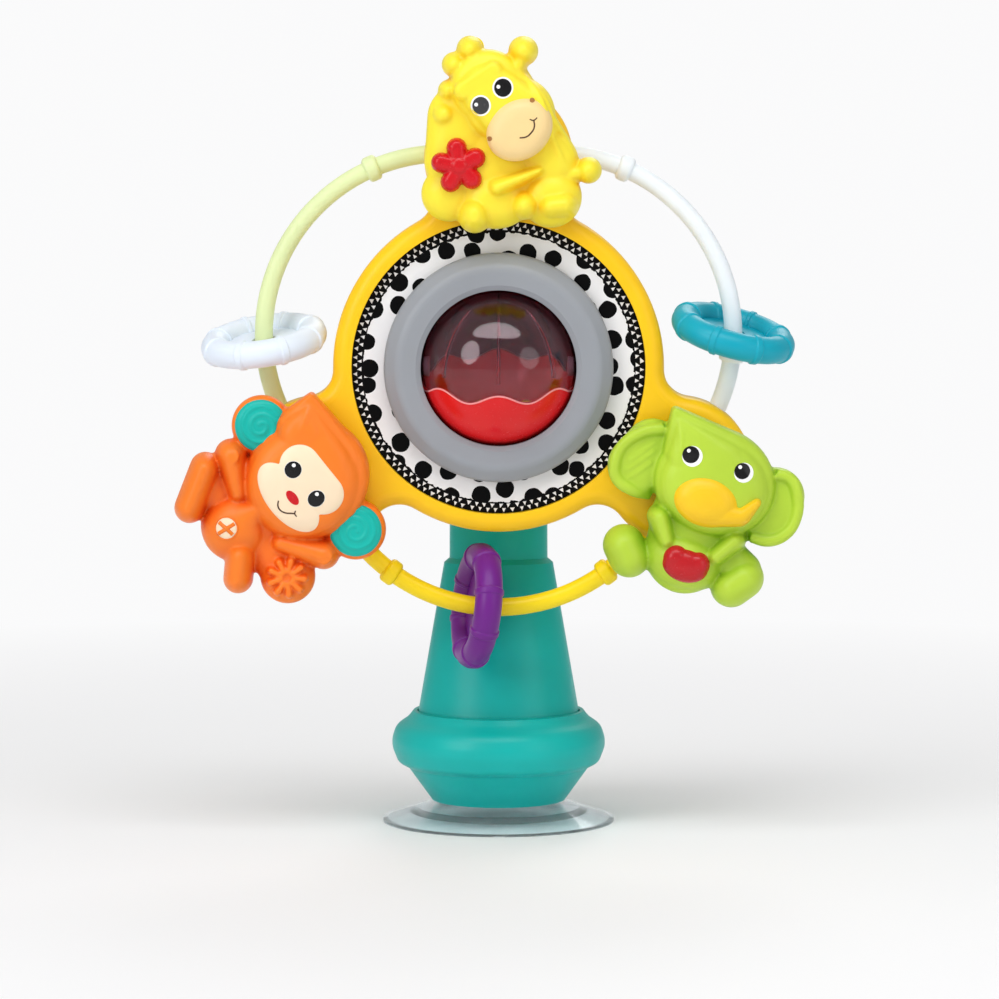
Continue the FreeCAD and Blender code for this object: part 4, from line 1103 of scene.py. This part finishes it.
@dataclass
class Giraffe(Figure):
    """Sitting giraffe that leans over a flower."""

    flower: Spot = (-12.2, -12.9)

    def __post_init__(self) -> None:
        """Lists the giraffe's forms."""
        super().__post_init__()
        self.forms = [
            Form(-11.6, 1.9, 10.6, 6.5, to=(-12.5, -11.6)),
            Form(1.3, 11.0, 9.6, 7.5, to=(15.4, -11.9)),
            Form(-15.4, -21.7, 8.7, 6.0),
            Form(-1.0, -14.0, 16.5, 7.0),
            Form(-1.0, -23.1, 11.6, 8.5, oval=9.6),
            Form(16.4, -22.7, 9.6, 8.5),
            Form(-7.4, -27.6, 5.2, 11.4, to=(-7.4, -28.8), full=2.0),
            Form(16.4, -25.3, 4.8, 11.6, to=(20.4, -24.9), full=2.0),
            Form(8.0, -25.1, 4.8, 11.9, full=2.0),
            Form(-0.4, -19.6, 3.6, 12.0, to=(12.9, -14.1), end_radius=1.8, end_height=9.6,
                 full=2.0),
            Form(28.0, -14.4, 4.2, 7.2, full=2.0),
            Form(19.3, -16.4, 2.6, 5.5, to=(27.0, -14.5)),
            Form(-3.4, 11.6, 11.6, 9.6, full=4.6),
            Form(17.2, -1.6, 2.2, 7.6),
            Form(1.0, 6.6, 12.0, 9.6, full=4.6),
            Form(5.8, 2.9, 11.9, 9.6, full=4.6),
            Form(-3.2, 10.4, 9.0, 12.2, to=(6.6, 1.8), end_radius=10.8, full=5.0),
            Form(-10.8, 10.4, 3.4, 12.2, to=(-1.8, 16.4), full=5.0),
            Form(-8.9, 23.2, 4.2, 9.0, full=2.0),
            Form(-8.2, 23.1, 3.0, 7.6, to=(-4.8, 17.3)),
            Form(-13.7, 18.4, 4.0, 8.0, full=2.0),
            Form(-15.5, 10.4, 3.4, 8.0, full=2.0),
            Form(-16.8, 3.0, 4.2, 8.2, full=2.0),
            Form(7.7, 22.6, 4.7, 9.4, full=2.0),
            Form(7.2, 21.2, 2.9, 7.8, to=(4.8, 14.4)),
        ]
        self.ridges = [
            Ridge(((8.2, 15.0), (12.2, 8.9), (15.0, 1.9), (16.4, -3.9), (18.8, -9.6),
                   (21.8, -14.5)), 1.1, 0.9, (0.4, 1.0, 1.0, 1.0, 1.0, 0.4)),
            Ridge(((8.9, 14.6), (14.0, 8.4), (17.0, 1.6), (20.6, -4.4), (23.6, -9.8)),
                  0.9, 0.8, (0.4, 1.0, 1.0, 1.0, 0.4)),
        ]

    def build(self) -> None:
        """Builds and dresses the giraffe."""
        shell = self.shell()
        muzzle = self.inlay([Form(6.5, -1.5, 10.9, 6.2, oval=9.3, turn=40.0, base=8.8)])
        face = Ground(shell, muzzle)
        petals = [Form(*self.flower, 2.5, 5.3, to=about(self.flower, 5.6, 98 - 72 * n),
                       end_radius=3.25, base=4.6) for n in range(5)]
        flower = self.inlay([Form(*self.flower, 3.7, 6.0, base=4.6)] + petals)
        eye = Eye(1.35, 11.3, 2.7, 2.8, (0.55, 0.55), (-1.4, 0.3), levels=(0.03, 0.07, 0.1))
        self.print_eyes(face, "giraffe_yellow", eye,
                        replace(eye, x=-5.5, y=5.8, wide=2.6, high=2.7, ink=GREY_INK))
        for n, at in enumerate(((10.4, 7.5), (-2.8, -4.4))):
            self.keep(self.disc(face, at, 0.8, 0.75, 0.05), f"nostril_{n}", TAN_INK,
                      "giraffe_peach")
        smile = [self.line(face, 0.26, (6.5, -4.1), (8.5, -3.8), (10.1, -2.5), (11.0, -0.8),
                           (10.9, 1.3)),
                 self.line(face, 0.22, (9.6, 1.6), (10.8, 1.3), (11.9, 2.1))]
        self.keep(join(smile), "smile", BROWN_INK, "giraffe_peach")
        self.keep(muzzle, "muzzle_dome", PEACH, "giraffe_peach", "giraffe_muzzle")
        self.keep(flower, "flower_soft", FLOWER, "flower_red", "giraffe_flower")
        self.keep_shells(shell, "giraffe_yellow")


@dataclass
class Monkey(Figure):
    """Monkey with a pointed tuft, two scrolled ears, a belly badge and a round tail."""

    tail: Spot = (21.1, -16.9)
    badge: Spot = (-2.9, -21.7)
    scroll_steps: int = 28

    def __post_init__(self) -> None:
        """Lists the monkey's forms."""
        super().__post_init__()
        rays = [Form(*about(self.tail, 1.8, 40 * n + 8), 0.75, 7.4, end_radius=1.55,
                     to=about(self.tail, 5.4, 40 * n + 8), full=3.0) for n in range(9)]
        self.forms = [
            Form(0.9, 7.0, 18.8, 9.0, oval=20.2, full=5.0),
            Form(0.9, 14.0, 12.6, 9.0, to=(-18.4, 24.3), end_radius=1.3, end_height=8.6, full=5.0),
            Form(-11.6, 15.4, 8.6, 8.8, to=(-18.4, 24.3), end_radius=1.3, end_height=8.6, full=5.0),
            Form(0.9, 5.9, 17.9, 12.2, oval=18.8, full=3.6),
            Form(0.4, 12.6, 11.6, 12.0, to=(-16.4, 22.4), end_radius=1.1, end_height=9.2, full=3.6),
            Form(-10.6, 14.6, 8.0, 11.6, to=(-16.4, 22.4), end_radius=1.1, end_height=9.2,
                 full=3.6),
            Form(-20.9, 6.4, 9.5, 5.6, full=4.0),
            Form(22.9, 9.0, 9.5, 5.6, full=4.0),
            Form(-19.6, -7.0, 5.2, 9.4, to=(-9.0, -12.3), end_radius=3.6, end_height=8.2, full=2.0),
            Form(22.6, -3.6, 5.0, 9.4, to=(11.4, -11.6), end_radius=3.6, end_height=8.2, full=2.0),
            Form(-0.5, -9.6, 11.6, 6.0, to=(-1.0, -19.3)),
            Form(-1.0, -20.3, 10.6, 9.8, full=2.0),
            Form(-1.2, -19.6, 9.4, 9.6, to=(-1.6, -9.6), end_radius=1.4, end_height=9.0, full=2.0),
            Form(7.7, -15.4, 7.7, 4.8, to=(17.4, -16.4)),
            Form(*self.tail, 8.7, 6.2),
            Form(-13.5, -18.5, 6.0, 5.0, to=(-19.0, -17.0)),
            Form(-21.6, -15.7, 4.9, 10.8, to=(-14.8, -27.4), full=2.0),
            Form(6.4, -24.1, 4.7, 11.6, to=(12.0, -29.5), full=2.0),
        ] + rays
        self.ridges = [
            Ridge(((-17.4, 22.6), (-14.6, 19.4), (-12.6, 16.2), (-11.8, 12.6)),
                  1.2, 0.5, (0.6, 1.0, 0.9, 0.3)),
            Ridge(((-22.0, -5.6), (-19.2, -4.6), (-17.6, -7.0), (-19.4, -9.4)),
                  0.8, 0.5, (0.5, 1.0, 1.0, 0.5)),
            Ridge(((21.2, -1.2), (24.0, -1.6), (24.6, -4.6), (22.4, -6.0)),
                  0.8, 0.5, (0.5, 1.0, 1.0, 0.5)),
        ]

    def ear(self, x: float, y: float, start: float, sense: float) -> Thing:
        """One ear insert with its raised scroll.

        Args:
            x: Its middle.
            y: Its middle.
            start: Angle at which the scroll starts.
            sense: 1 where it runs anticlockwise and -1 where it runs clockwise.

        Returns:
            The insert, in the figure's frame.
        """
        steps = self.scroll_steps
        scroll = tuple(about((x, y), 0.7 + 5.9 * n / steps, start + sense * 30.0 * n)
                       for n in range(steps + 1))
        return self.inlay([Form(x, y, 8.3, 2.6, base=3.9)], 0.3, (Ridge(scroll, 0.62, 0.42),))

    def build(self) -> None:
        """Builds and dresses the monkey."""
        shell = self.shell()
        ears = join([self.ear(-21.0, 6.4, 200.0, -1.0), self.ear(22.9, 9.0, 20.0, 1.0)])
        face_forms = [Form(-4.2, 8.8, 6.9, 1.7, to=(7.5, 8.8), base=-1.0),
                      Form(1.5, -0.4, 14.0, 1.7, oval=7.3, base=-1.0)]
        face = self.inlay(face_forms, draped=True)
        badge = self.inlay([Form(*self.badge, 3.9, 1.5, base=-1.0)], 0.28, draped=True)
        head = Ground(shell, face)
        eye = Eye(-4.4, 6.3, 2.6, 2.7, (0.12, 0.12), (-0.95, 1.05))
        self.print_eyes(head, "monkey_cream", eye, replace(eye, x=7.1, wide=2.45, high=2.75))
        self.keep(self.disc(head, (2.3, 0.7), 2.65, 1.45, 0.06), "nose", FLOWER, "monkey_cream")
        smile = [self.line(head, 0.26, (0.3, -3.3), (1.4, -4.4), (2.8, -4.75), (4.6, -4.0),
                           (6.0, -2.5), (6.6, -1.9)),
                 self.line(head, 0.22, (6.0, -1.1), (6.7, -1.9), (7.7, -2.0))]
        self.keep(join(smile), "smile", BROWN_INK, "monkey_cream")
        belly = Ground(shell, badge)
        x, y = self.badge
        rim = [about(self.badge, 3.5, 30 * n) for n in range(12)]
        cross = [self.line(belly, 0.7, (x + 0.45, y + 2.9), (x + 0.1, y), (x - 0.2, y - 2.9)),
                 self.line(belly, 0.7, (x - 2.8, y - 0.6), (x, y), (x + 2.7, y + 0.4)),
                 tube(belly.lift(rim, 0.0), 0.28, closed=True)]
        self.keep(join(cross), "badge_cross", ORANGE, "monkey_orange")
        self.keep(ears, "ear_scrolls", EAR_TEAL, "ear_teal", "monkey_ears")
        self.keep(face, "face_soft", CREAM, "monkey_cream", "monkey_face")
        self.keep(badge, "badge_soft", CREAM, "monkey_cream", "monkey_badge")
        self.keep_shells(shell, "monkey_orange")


@dataclass
class Elephant(Figure):
    """Elephant with round ears, a trunk that sweeps up and a piece of fruit."""

    def __post_init__(self) -> None:
        """Lists the elephant's forms."""
        super().__post_init__()
        self.forms = [
            Form(0.6, 2.9, 19.3, 9.0, oval=17.3, full=5.0),
            Form(0.6, 8.2, 12.0, 9.0, to=(-17.9, 20.6), end_radius=1.4, end_height=8.6, full=5.0),
            Form(-9.6, 9.6, 8.7, 8.8, to=(-17.9, 20.6), end_radius=1.4, end_height=8.6, full=5.0),
            Form(0.6, 2.0, 18.2, 12.2, oval=16.0, full=3.6),
            Form(0.4, 7.0, 11.0, 12.0, to=(-16.0, 18.8), end_radius=1.2, end_height=9.2, full=3.6),
            Form(-9.0, 8.6, 8.2, 11.6, to=(-16.0, 18.8), end_radius=1.2, end_height=9.2, full=3.6),
            Form(-21.2, 7.7, 8.7, 4.4, to=(-24.0, 0.5), end_radius=9.2, full=4.0),
            Form(20.2, 4.3, 9.3, 4.4, to=(19.8, -1.9), end_radius=10.0, full=4.0),
            Form(-1.0, -9.6, 14.4, 7.0, to=(-1.0, -21.2), end_radius=12.8),
            Form(-1.0, -23.1, 13.5, 10.2, oval=9.8, full=2.0),
            Form(-20.2, -24.6, 6.6, 9.6, to=(-17.4, -27.6), full=2.0),
            Form(18.6, -23.1, 6.6, 9.6, to=(15.9, -26.8), full=2.0),
            Form(11.6, -18.3, 6.4, 6.5, to=(17.4, -21.2)),
            Form(-12.5, -12.5, 3.9, 10.8, to=(-8.4, -18.6), end_radius=3.3),
            Form(12.0, -12.5, 3.9, 10.8, to=(7.9, -18.9), end_radius=3.3),
        ]
        self.ridges = [
            Ridge(((-16.6, 18.8), (-14.2, 14.6), (-12.8, 10.4), (-12.4, 6.6)),
                  1.2, 0.5, (0.6, 1.0, 0.9, 0.3)),
            Ridge(((-19.5, 14.2), (-25.6, 11.2), (-30.2, 5.4), (-31.0, 0.0), (-29.2, -4.8),
                   (-24.0, -7.0), (-17.4, -6.9)), 2.0, 2.0),
            Ridge(((18.0, 11.4), (22.8, 11.2), (26.5, 6.8), (28.2, 0.0), (26.6, -5.8),
                   (22.4, -9.1), (16.4, -9.7)), 2.0, 2.0),
            Ridge(((-26.6, 1.6), (-23.8, 5.4), (-21.0, 9.4)), 0.6, 0.45),
            Ridge(((-26.8, -1.6), (-23.4, 2.6), (-20.4, 6.8)), 0.6, 0.45),
            Ridge(((-25.4, -3.8), (-22.8, -0.6), (-20.2, 3.0)), 0.6, 0.45),
        ]

    def build(self) -> None:
        """Builds and dresses the elephant."""
        shell = self.shell()
        trunk = self.inlay([Form(-0.4, -2.9, 10.8, 6.0, oval=8.2, base=8.6),
                            Form(2.0, -6.0, 4.8, 5.4, to=(10.8, -4.4), end_radius=3.3, base=8.2),
                            Form(11.6, -3.9, 3.0, 5.2, to=(14.6, 1.4), end_radius=1.5, base=8.4)],
                           full=2.4)
        fruit = self.inlay([Form(-3.7, -22.9, 4.3, 4.8, base=7.0),
                            Form(3.0, -22.9, 4.2, 4.8, base=7.0),
                            Form(-0.4, -24.2, 7.5, 5.0, oval=5.4, base=7.0)], full=2.4)
        head = Ground(shell, trunk)
        eye = Eye(-9.6, 9.5, 2.65, 2.65, (0.55, 0.6), (-1.0, 1.0), (0.6, -0.35))
        self.print_eyes(head, "elephant_lime", eye, replace(eye, x=7.2, wide=2.5, high=2.5))
        self.keep(trunk, "trunk_soft", TRUNK, "trunk_yellow", "elephant_trunk")
        self.keep(fruit, "fruit_soft", FRUIT, "fruit_red", "elephant_fruit")
        self.keep_shells(shell, "elephant_lime")


# ------------------------------------------------------------------------- ball

@dataclass
class Ball:
    """Ball in a clear and a red half that meet in a wavy seam."""

    radius: float = 25.5
    wall: float = 1.6
    roll: float = 14.0
    scallops: int = 8
    drop: float = 1.9
    dip: float = 3.1
    wave_reach: float = 55.0
    pole: float = 89.9
    seam_radius: float = 0.32
    seam_sink: float = 0.15
    seam_steps: int = 12
    rib_radius: float = 0.55
    rib_gap: float = 0.25
    rib_start: float = 4.0
    rib_sweep: float = 56.0
    rib_widths: tuple[float, ...] = (1.2, 1.1, 1.0, 1.0, 0.9, 0.8, 0.6, 0.3)
    place: Matrix = field(init=False)

    def __post_init__(self) -> None:
        """Works out where the ball sits in the wheel."""
        middle = WHEEL @ Matrix.Translation((0, 0, BALL_FORWARD))
        self.place = middle @ turned_by(-90 + self.roll, "X")

    def fall(self, round_by: float) -> float:
        """How far the seam lies below the ball's great circle at an angle about its axis."""
        return self.drop + self.dip * math.sin(self.scallops / 2 * round_by) ** 2

    def seam(self) -> Thing:
        """Painted highlight of the clear half's lit edge, a thin line all along the seam.

        Returns:
            The line about the ball's centre.
        """
        spots = []
        count = self.scallops * self.seam_steps
        for n in range(count):
            round_by = 2 * math.pi * n / count
            tilt = -self.fall(round_by) / self.radius
            flat = (self.radius - self.seam_sink) * math.cos(tilt)
            spots.append(Vector((flat * math.cos(round_by), flat * math.sin(round_by),
                                 self.radius * math.sin(tilt))))
        return tube(spots, self.seam_radius, closed=True)

    def half(self, upper: bool) -> Thing:
        """One half shell with its wavy edge.

        Args:
            upper: Whether it is the clear half.

        Returns:
            The half shell about the ball's centre.
        """
        thing = new_primitive(bpy.ops.mesh.primitive_uv_sphere_add, segments=128, ring_count=64,
                              radius=self.radius)
        cut_level(thing, clear_inner=upper, clear_outer=not upper)
        for point in thing.data.vertices:
            tilt = math.asin(max(-1.0, min(1.0, point.co.z / self.radius)))
            round_by = math.atan2(point.co.y, point.co.x)
            near = max(0.0, 1 - abs(tilt) / math.radians(self.wave_reach))
            near = near * near * (3 - 2 * near)
            tilt -= near * self.fall(round_by) / self.radius
            flat = self.radius * math.cos(tilt)
            if abs(tilt) < math.radians(self.pole):
                point.co = (flat * math.cos(round_by), flat * math.sin(round_by),
                            self.radius * math.sin(tilt))
        return finish_with(thing, "SOLIDIFY", thickness=self.wall, offset=-1.0,
                           use_even_offset=True)

    def ribs(self) -> Thing:
        """Upright ribs inside the clear half, one over each crest of the seam.

        Returns:
            The ribs about the ball's centre.
        """
        inside = self.radius - self.wall - self.rib_gap
        last = len(self.rib_widths) - 1
        tilts = [math.radians(self.rib_start + self.rib_sweep * n / last) for n in range(last + 1)]
        spots = [Vector((inside * math.cos(tilt), 0, inside * math.sin(tilt))) for tilt in tilts]
        bars = [tube(spots, self.rib_radius, self.rib_widths)]
        for n in range(1, self.scallops):
            twin = duplicate(bars[0])
            twin.data.transform(turned_by(360 / self.scallops * n, "Z"))
            bars.append(twin)
        return join(bars)

    def build(self) -> None:
        """Builds and dresses the ball and its beads."""
        for thing, label, finish, slot, *nodes in (
                (self.half(True), "clear_half", CLEAR, "clear_plastic", "ball_clear_dome"),
                (self.half(False), "red_half", RED, "ball_red", "ball_red_cup"),
                (self.ribs(), "dome_ribs", RIB, "clear_plastic"),
                # the seam line is a painted highlight of the clear half's lit edge
                (self.seam(), "seam_line", SEAM_HIGHLIGHT, "clear_plastic")):
            settle(thing, f"ball_{label}", self.place, finish, "ball", tuple(nodes))
        dress(BEARING, "ball_axle_pins")
        dress(GREEN_BEAD, "ball_beads_green")
        dress(ORANGE_BEAD, "ball_beads_orange")
        dress(YELLOW_BEAD, "ball_beads_yellow")


# ------------------------------------------------------------------------ rings

@dataclass
class RibbedRing:
    """Ring with soft raised collars and a thin web, turned once and copied."""

    radius: float = 15.7
    tube_radius: float = 4.3
    sides: tuple[int, int] = (192, 36)
    collars: int = 8
    collar_width: float = 2.2
    collar_rise: float = 0.42
    collar_slope: float = 0.45
    rounding: float = 0.2
    sharp_from: float = 25.0
    web: float = 1.2
    web_sides: int = 96
    hole: float = 3.7
    master: Thing = field(init=False)

    def __post_init__(self) -> None:
        """Makes the ring that the three are copied from."""
        ring = new_primitive(bpy.ops.mesh.primitive_torus_add, major_radius=self.radius,
                             minor_radius=self.tube_radius, major_segments=self.sides[0],
                             minor_segments=self.sides[1])
        sweep = self.collar_width / (self.radius + self.tube_radius)
        pitch = 2 * math.pi / self.collars

        def in_collar(face: bpy.types.MeshPolygon) -> bool:
            """Whether a face lies under a collar."""
            angle = math.atan2(face.center.y, face.center.x) % pitch
            return abs(angle - pitch / 2) < sweep / 2

        select_faces(ring, in_collar)
        bpy.ops.mesh.inset(thickness=self.collar_slope, depth=self.collar_rise, use_boundary=True)
        close_edit()
        finish_with(ring, "BEVEL", width=self.rounding, segments=2, limit_method="ANGLE",
                    angle_limit=math.radians(self.sharp_from))
        reach = self.radius - self.tube_radius / 2
        plate = new_primitive(bpy.ops.mesh.primitive_cylinder_add, vertices=self.web_sides,
                              depth=self.web, radius=reach)
        select_faces(plate, lambda face: abs(face.normal.z) > 0.9)
        bpy.ops.mesh.inset(thickness=reach - self.hole)
        bpy.ops.mesh.bridge_edge_loops()
        close_edit()
        self.master = join([ring, plate])

    def copy_to(self, colour: str, finish: Finish, middle: float, angle: float, lean: float,
                roll: float) -> None:
        """Places one ring on its rod.

        Args:
            colour: The colour in its names.
            finish: Its finish.
            middle: Angle of the rod's middle on the wheel.
            angle: Where the ring sits, about the centre of the rod's bend.
            lean: Its lean on its hole.
            roll: Its turn about the rod.
        """
        square = turned_by(angle, "Z") @ turned_by(lean - 90, "X") @ turned_by(roll, "Y")
        at = on_circle(ROD_CENTRE, middle) + on_circle(ROD_BEND, angle)
        node = f"ring_{colour}"
        settle(duplicate(self.master), f"{node}_collared", WHEEL @ Matrix.Translation(at) @ square,
               finish, f"{colour}_ring", (node,))

    def build(self) -> None:
        """Builds the three rings."""
        self.copy_to("white", WHITE_RING, 150.0, 182.0, -12.0, -6.0)
        self.copy_to("teal", TEAL_RING, 30.0, 0.5, 12.0, 15.0)
        self.copy_to("purple", PURPLE_RING, 270.0, 263.0, -13.0, 0.0)
        bpy.data.objects.remove(self.master)


# -------------------------------------------------------------- carried-over parts

@dataclass
class Stand:
    """Pillar, collar and suction cup."""

    def build(self) -> None:
        """Dresses the stand's nodes."""
        dress(CUP_CLEAR, "suction_cup")
        dress(CLIP, "cup_clip")
        dress(TEAL, "base_collar", "pillar_front_shell", "pillar_rear_shell")
        dress(BEARING, "pillar_bush", "axle_washer")
        dress(STEEL, "foot_screws", "pillar_screws", "axle_screw")


@dataclass
class Wheel:
    """Wheel shells, printed disc, bezel, rods and the figures' posts."""

    def build(self) -> None:
        """Dresses the wheel's nodes."""
        dress(YELLOW, "wheel_front_shell", "wheel_rear_shell")
        dress(CARD, "printed_disc")
        dress(GREY, "bezel_ring")
        # the retainer's dark colour is painted shade at the window's edge
        dress(SHADE_RETAINER, "ball_retainer_ring")
        dress(LIME_ROD, "rod_left")
        dress(WHITE_ROD, "rod_right")
        dress(YELLOW_ROD, "rod_bottom")
        dress(BEARING, "figure_posts", "figure_washers")
        dress(STEEL, "wheel_screws", "bezel_screws", "giraffe_screws", "monkey_screws",
              "elephant_screws")


# ----------------------------------------------------------------------- studio

@dataclass
class Studio:
    """Pale floor, soft lamps and the camera."""

    distance: float = 1.6
    elevation: float = 5.0
    lens: float = 182.4
    sensor: float = 36.0
    aim: Place = (0.0003, -0.036, 0.1076)
    world_level: float = 0.46
    floor_size: float = 12.0

    def lamp(self, name: str, place: Place, wide: float, high: float, power: float) -> None:
        """One oval soft lamp that looks at the wheel.

        Args:
            name: Its name.
            place: Where it stands.
            wide: Its width.
            high: Its height.
            power: Its power in watts.
        """
        light = bpy.data.lights.new(name, "AREA")
        light.shape = "ELLIPSE"
        light.size = wide
        light.size_y = high
        light.energy = power
        thing = bpy.data.objects.new(name, light)
        thing.location = place
        sight = Vector(self.aim) - Vector(place)
        thing.rotation_euler = sight.to_track_quat("-Z", "Y").to_euler()
        bpy.context.scene.collection.objects.link(thing)

    def world(self) -> None:
        """White surroundings: plain light for the toy, and paper white to the eye."""
        world = bpy.data.worlds.new("studio_world")
        bpy.context.scene.world = world
        world.use_nodes = True
        nodes, link = world.node_tree.nodes, world.node_tree.links.new
        light, paper = nodes["Background"], nodes.new("ShaderNodeBackground")
        levels = ((light, (1.0, 1.0, 1.0, 1.0), self.world_level), (paper, PAPER_WHITE, 1.0))
        for node, colour, level in levels:
            node.inputs["Color"].default_value = colour
            node.inputs["Strength"].default_value = level
        rays = nodes.new("ShaderNodeLightPath")
        blend = nodes.new("ShaderNodeMixShader")
        seen = nodes.new("ShaderNodeMath")
        seen.operation = "MAXIMUM"
        for socket, ray in zip(seen.inputs, ("Is Camera Ray", "Is Transmission Ray")):
            link(rays.outputs[ray], socket)
        for socket, node in zip(blend.inputs, (seen, light, paper)):
            link(node.outputs[0], socket)
        link(blend.outputs[0], nodes["World Output"].inputs["Surface"])

    def camera(self) -> None:
        """Camera a little above the wheel, far away with a long lens."""
        data = bpy.data.cameras.new("front_camera")
        data.sensor_width = self.sensor
        data.lens = self.lens
        thing = bpy.data.objects.new("front_camera", data)
        rise = math.radians(self.elevation)
        back = Vector((0, -math.cos(rise), math.sin(rise)))
        thing.location = Vector(self.aim) + back * self.distance
        thing.rotation_euler = (-back).to_track_quat("-Z", "Y").to_euler()
        bpy.context.scene.collection.objects.link(thing)
        bpy.context.scene.camera = thing

    def build(self) -> None:
        """Builds the studio."""
        floor = new_primitive(bpy.ops.mesh.primitive_plane_add, size=self.floor_size)
        edit(floor)
        bpy.ops.mesh.subdivide(number_cuts=8)
        close_edit()
        floor.name = "studio_floor"
        floor.data.materials.append(Floor().make())
        self.lamp("key_lamp", (-1.1, -1.2, 0.75), 0.8, 0.95, 7.5)
        self.lamp("top_lamp", (-0.05, -0.75, 1.2), 1.5, 0.55, 8.5)
        self.lamp("fill_lamp", (1.1, -1.1, 0.5), 0.8, 0.8, 2.2)
        self.lamp("back_lamp", (0.3, 1.3, 1.1), 0.8, 0.8, 4.0)
        self.world()
        self.camera()
        bpy.context.scene.view_settings.view_transform = "Standard"


def main() -> None:
    """Builds the studio and every piece."""
    logging.basicConfig(level=logging.INFO, format="%(message)s")
    Studio().build()
    Stand().build()
    Wheel().build()
    RibbedRing().build()
    Ball().build()
    mould = DomeMould()
    Giraffe("giraffe", 90.0, 0.0, LEMON, mould).build()
    Monkey("monkey", 210.0, -51.5, ORANGE, mould).build()
    Elephant("elephant", 330.0, -17.8, LIME, mould).build()
    mould.remove()
    pick()


if __name__ == "__main__":
    main()
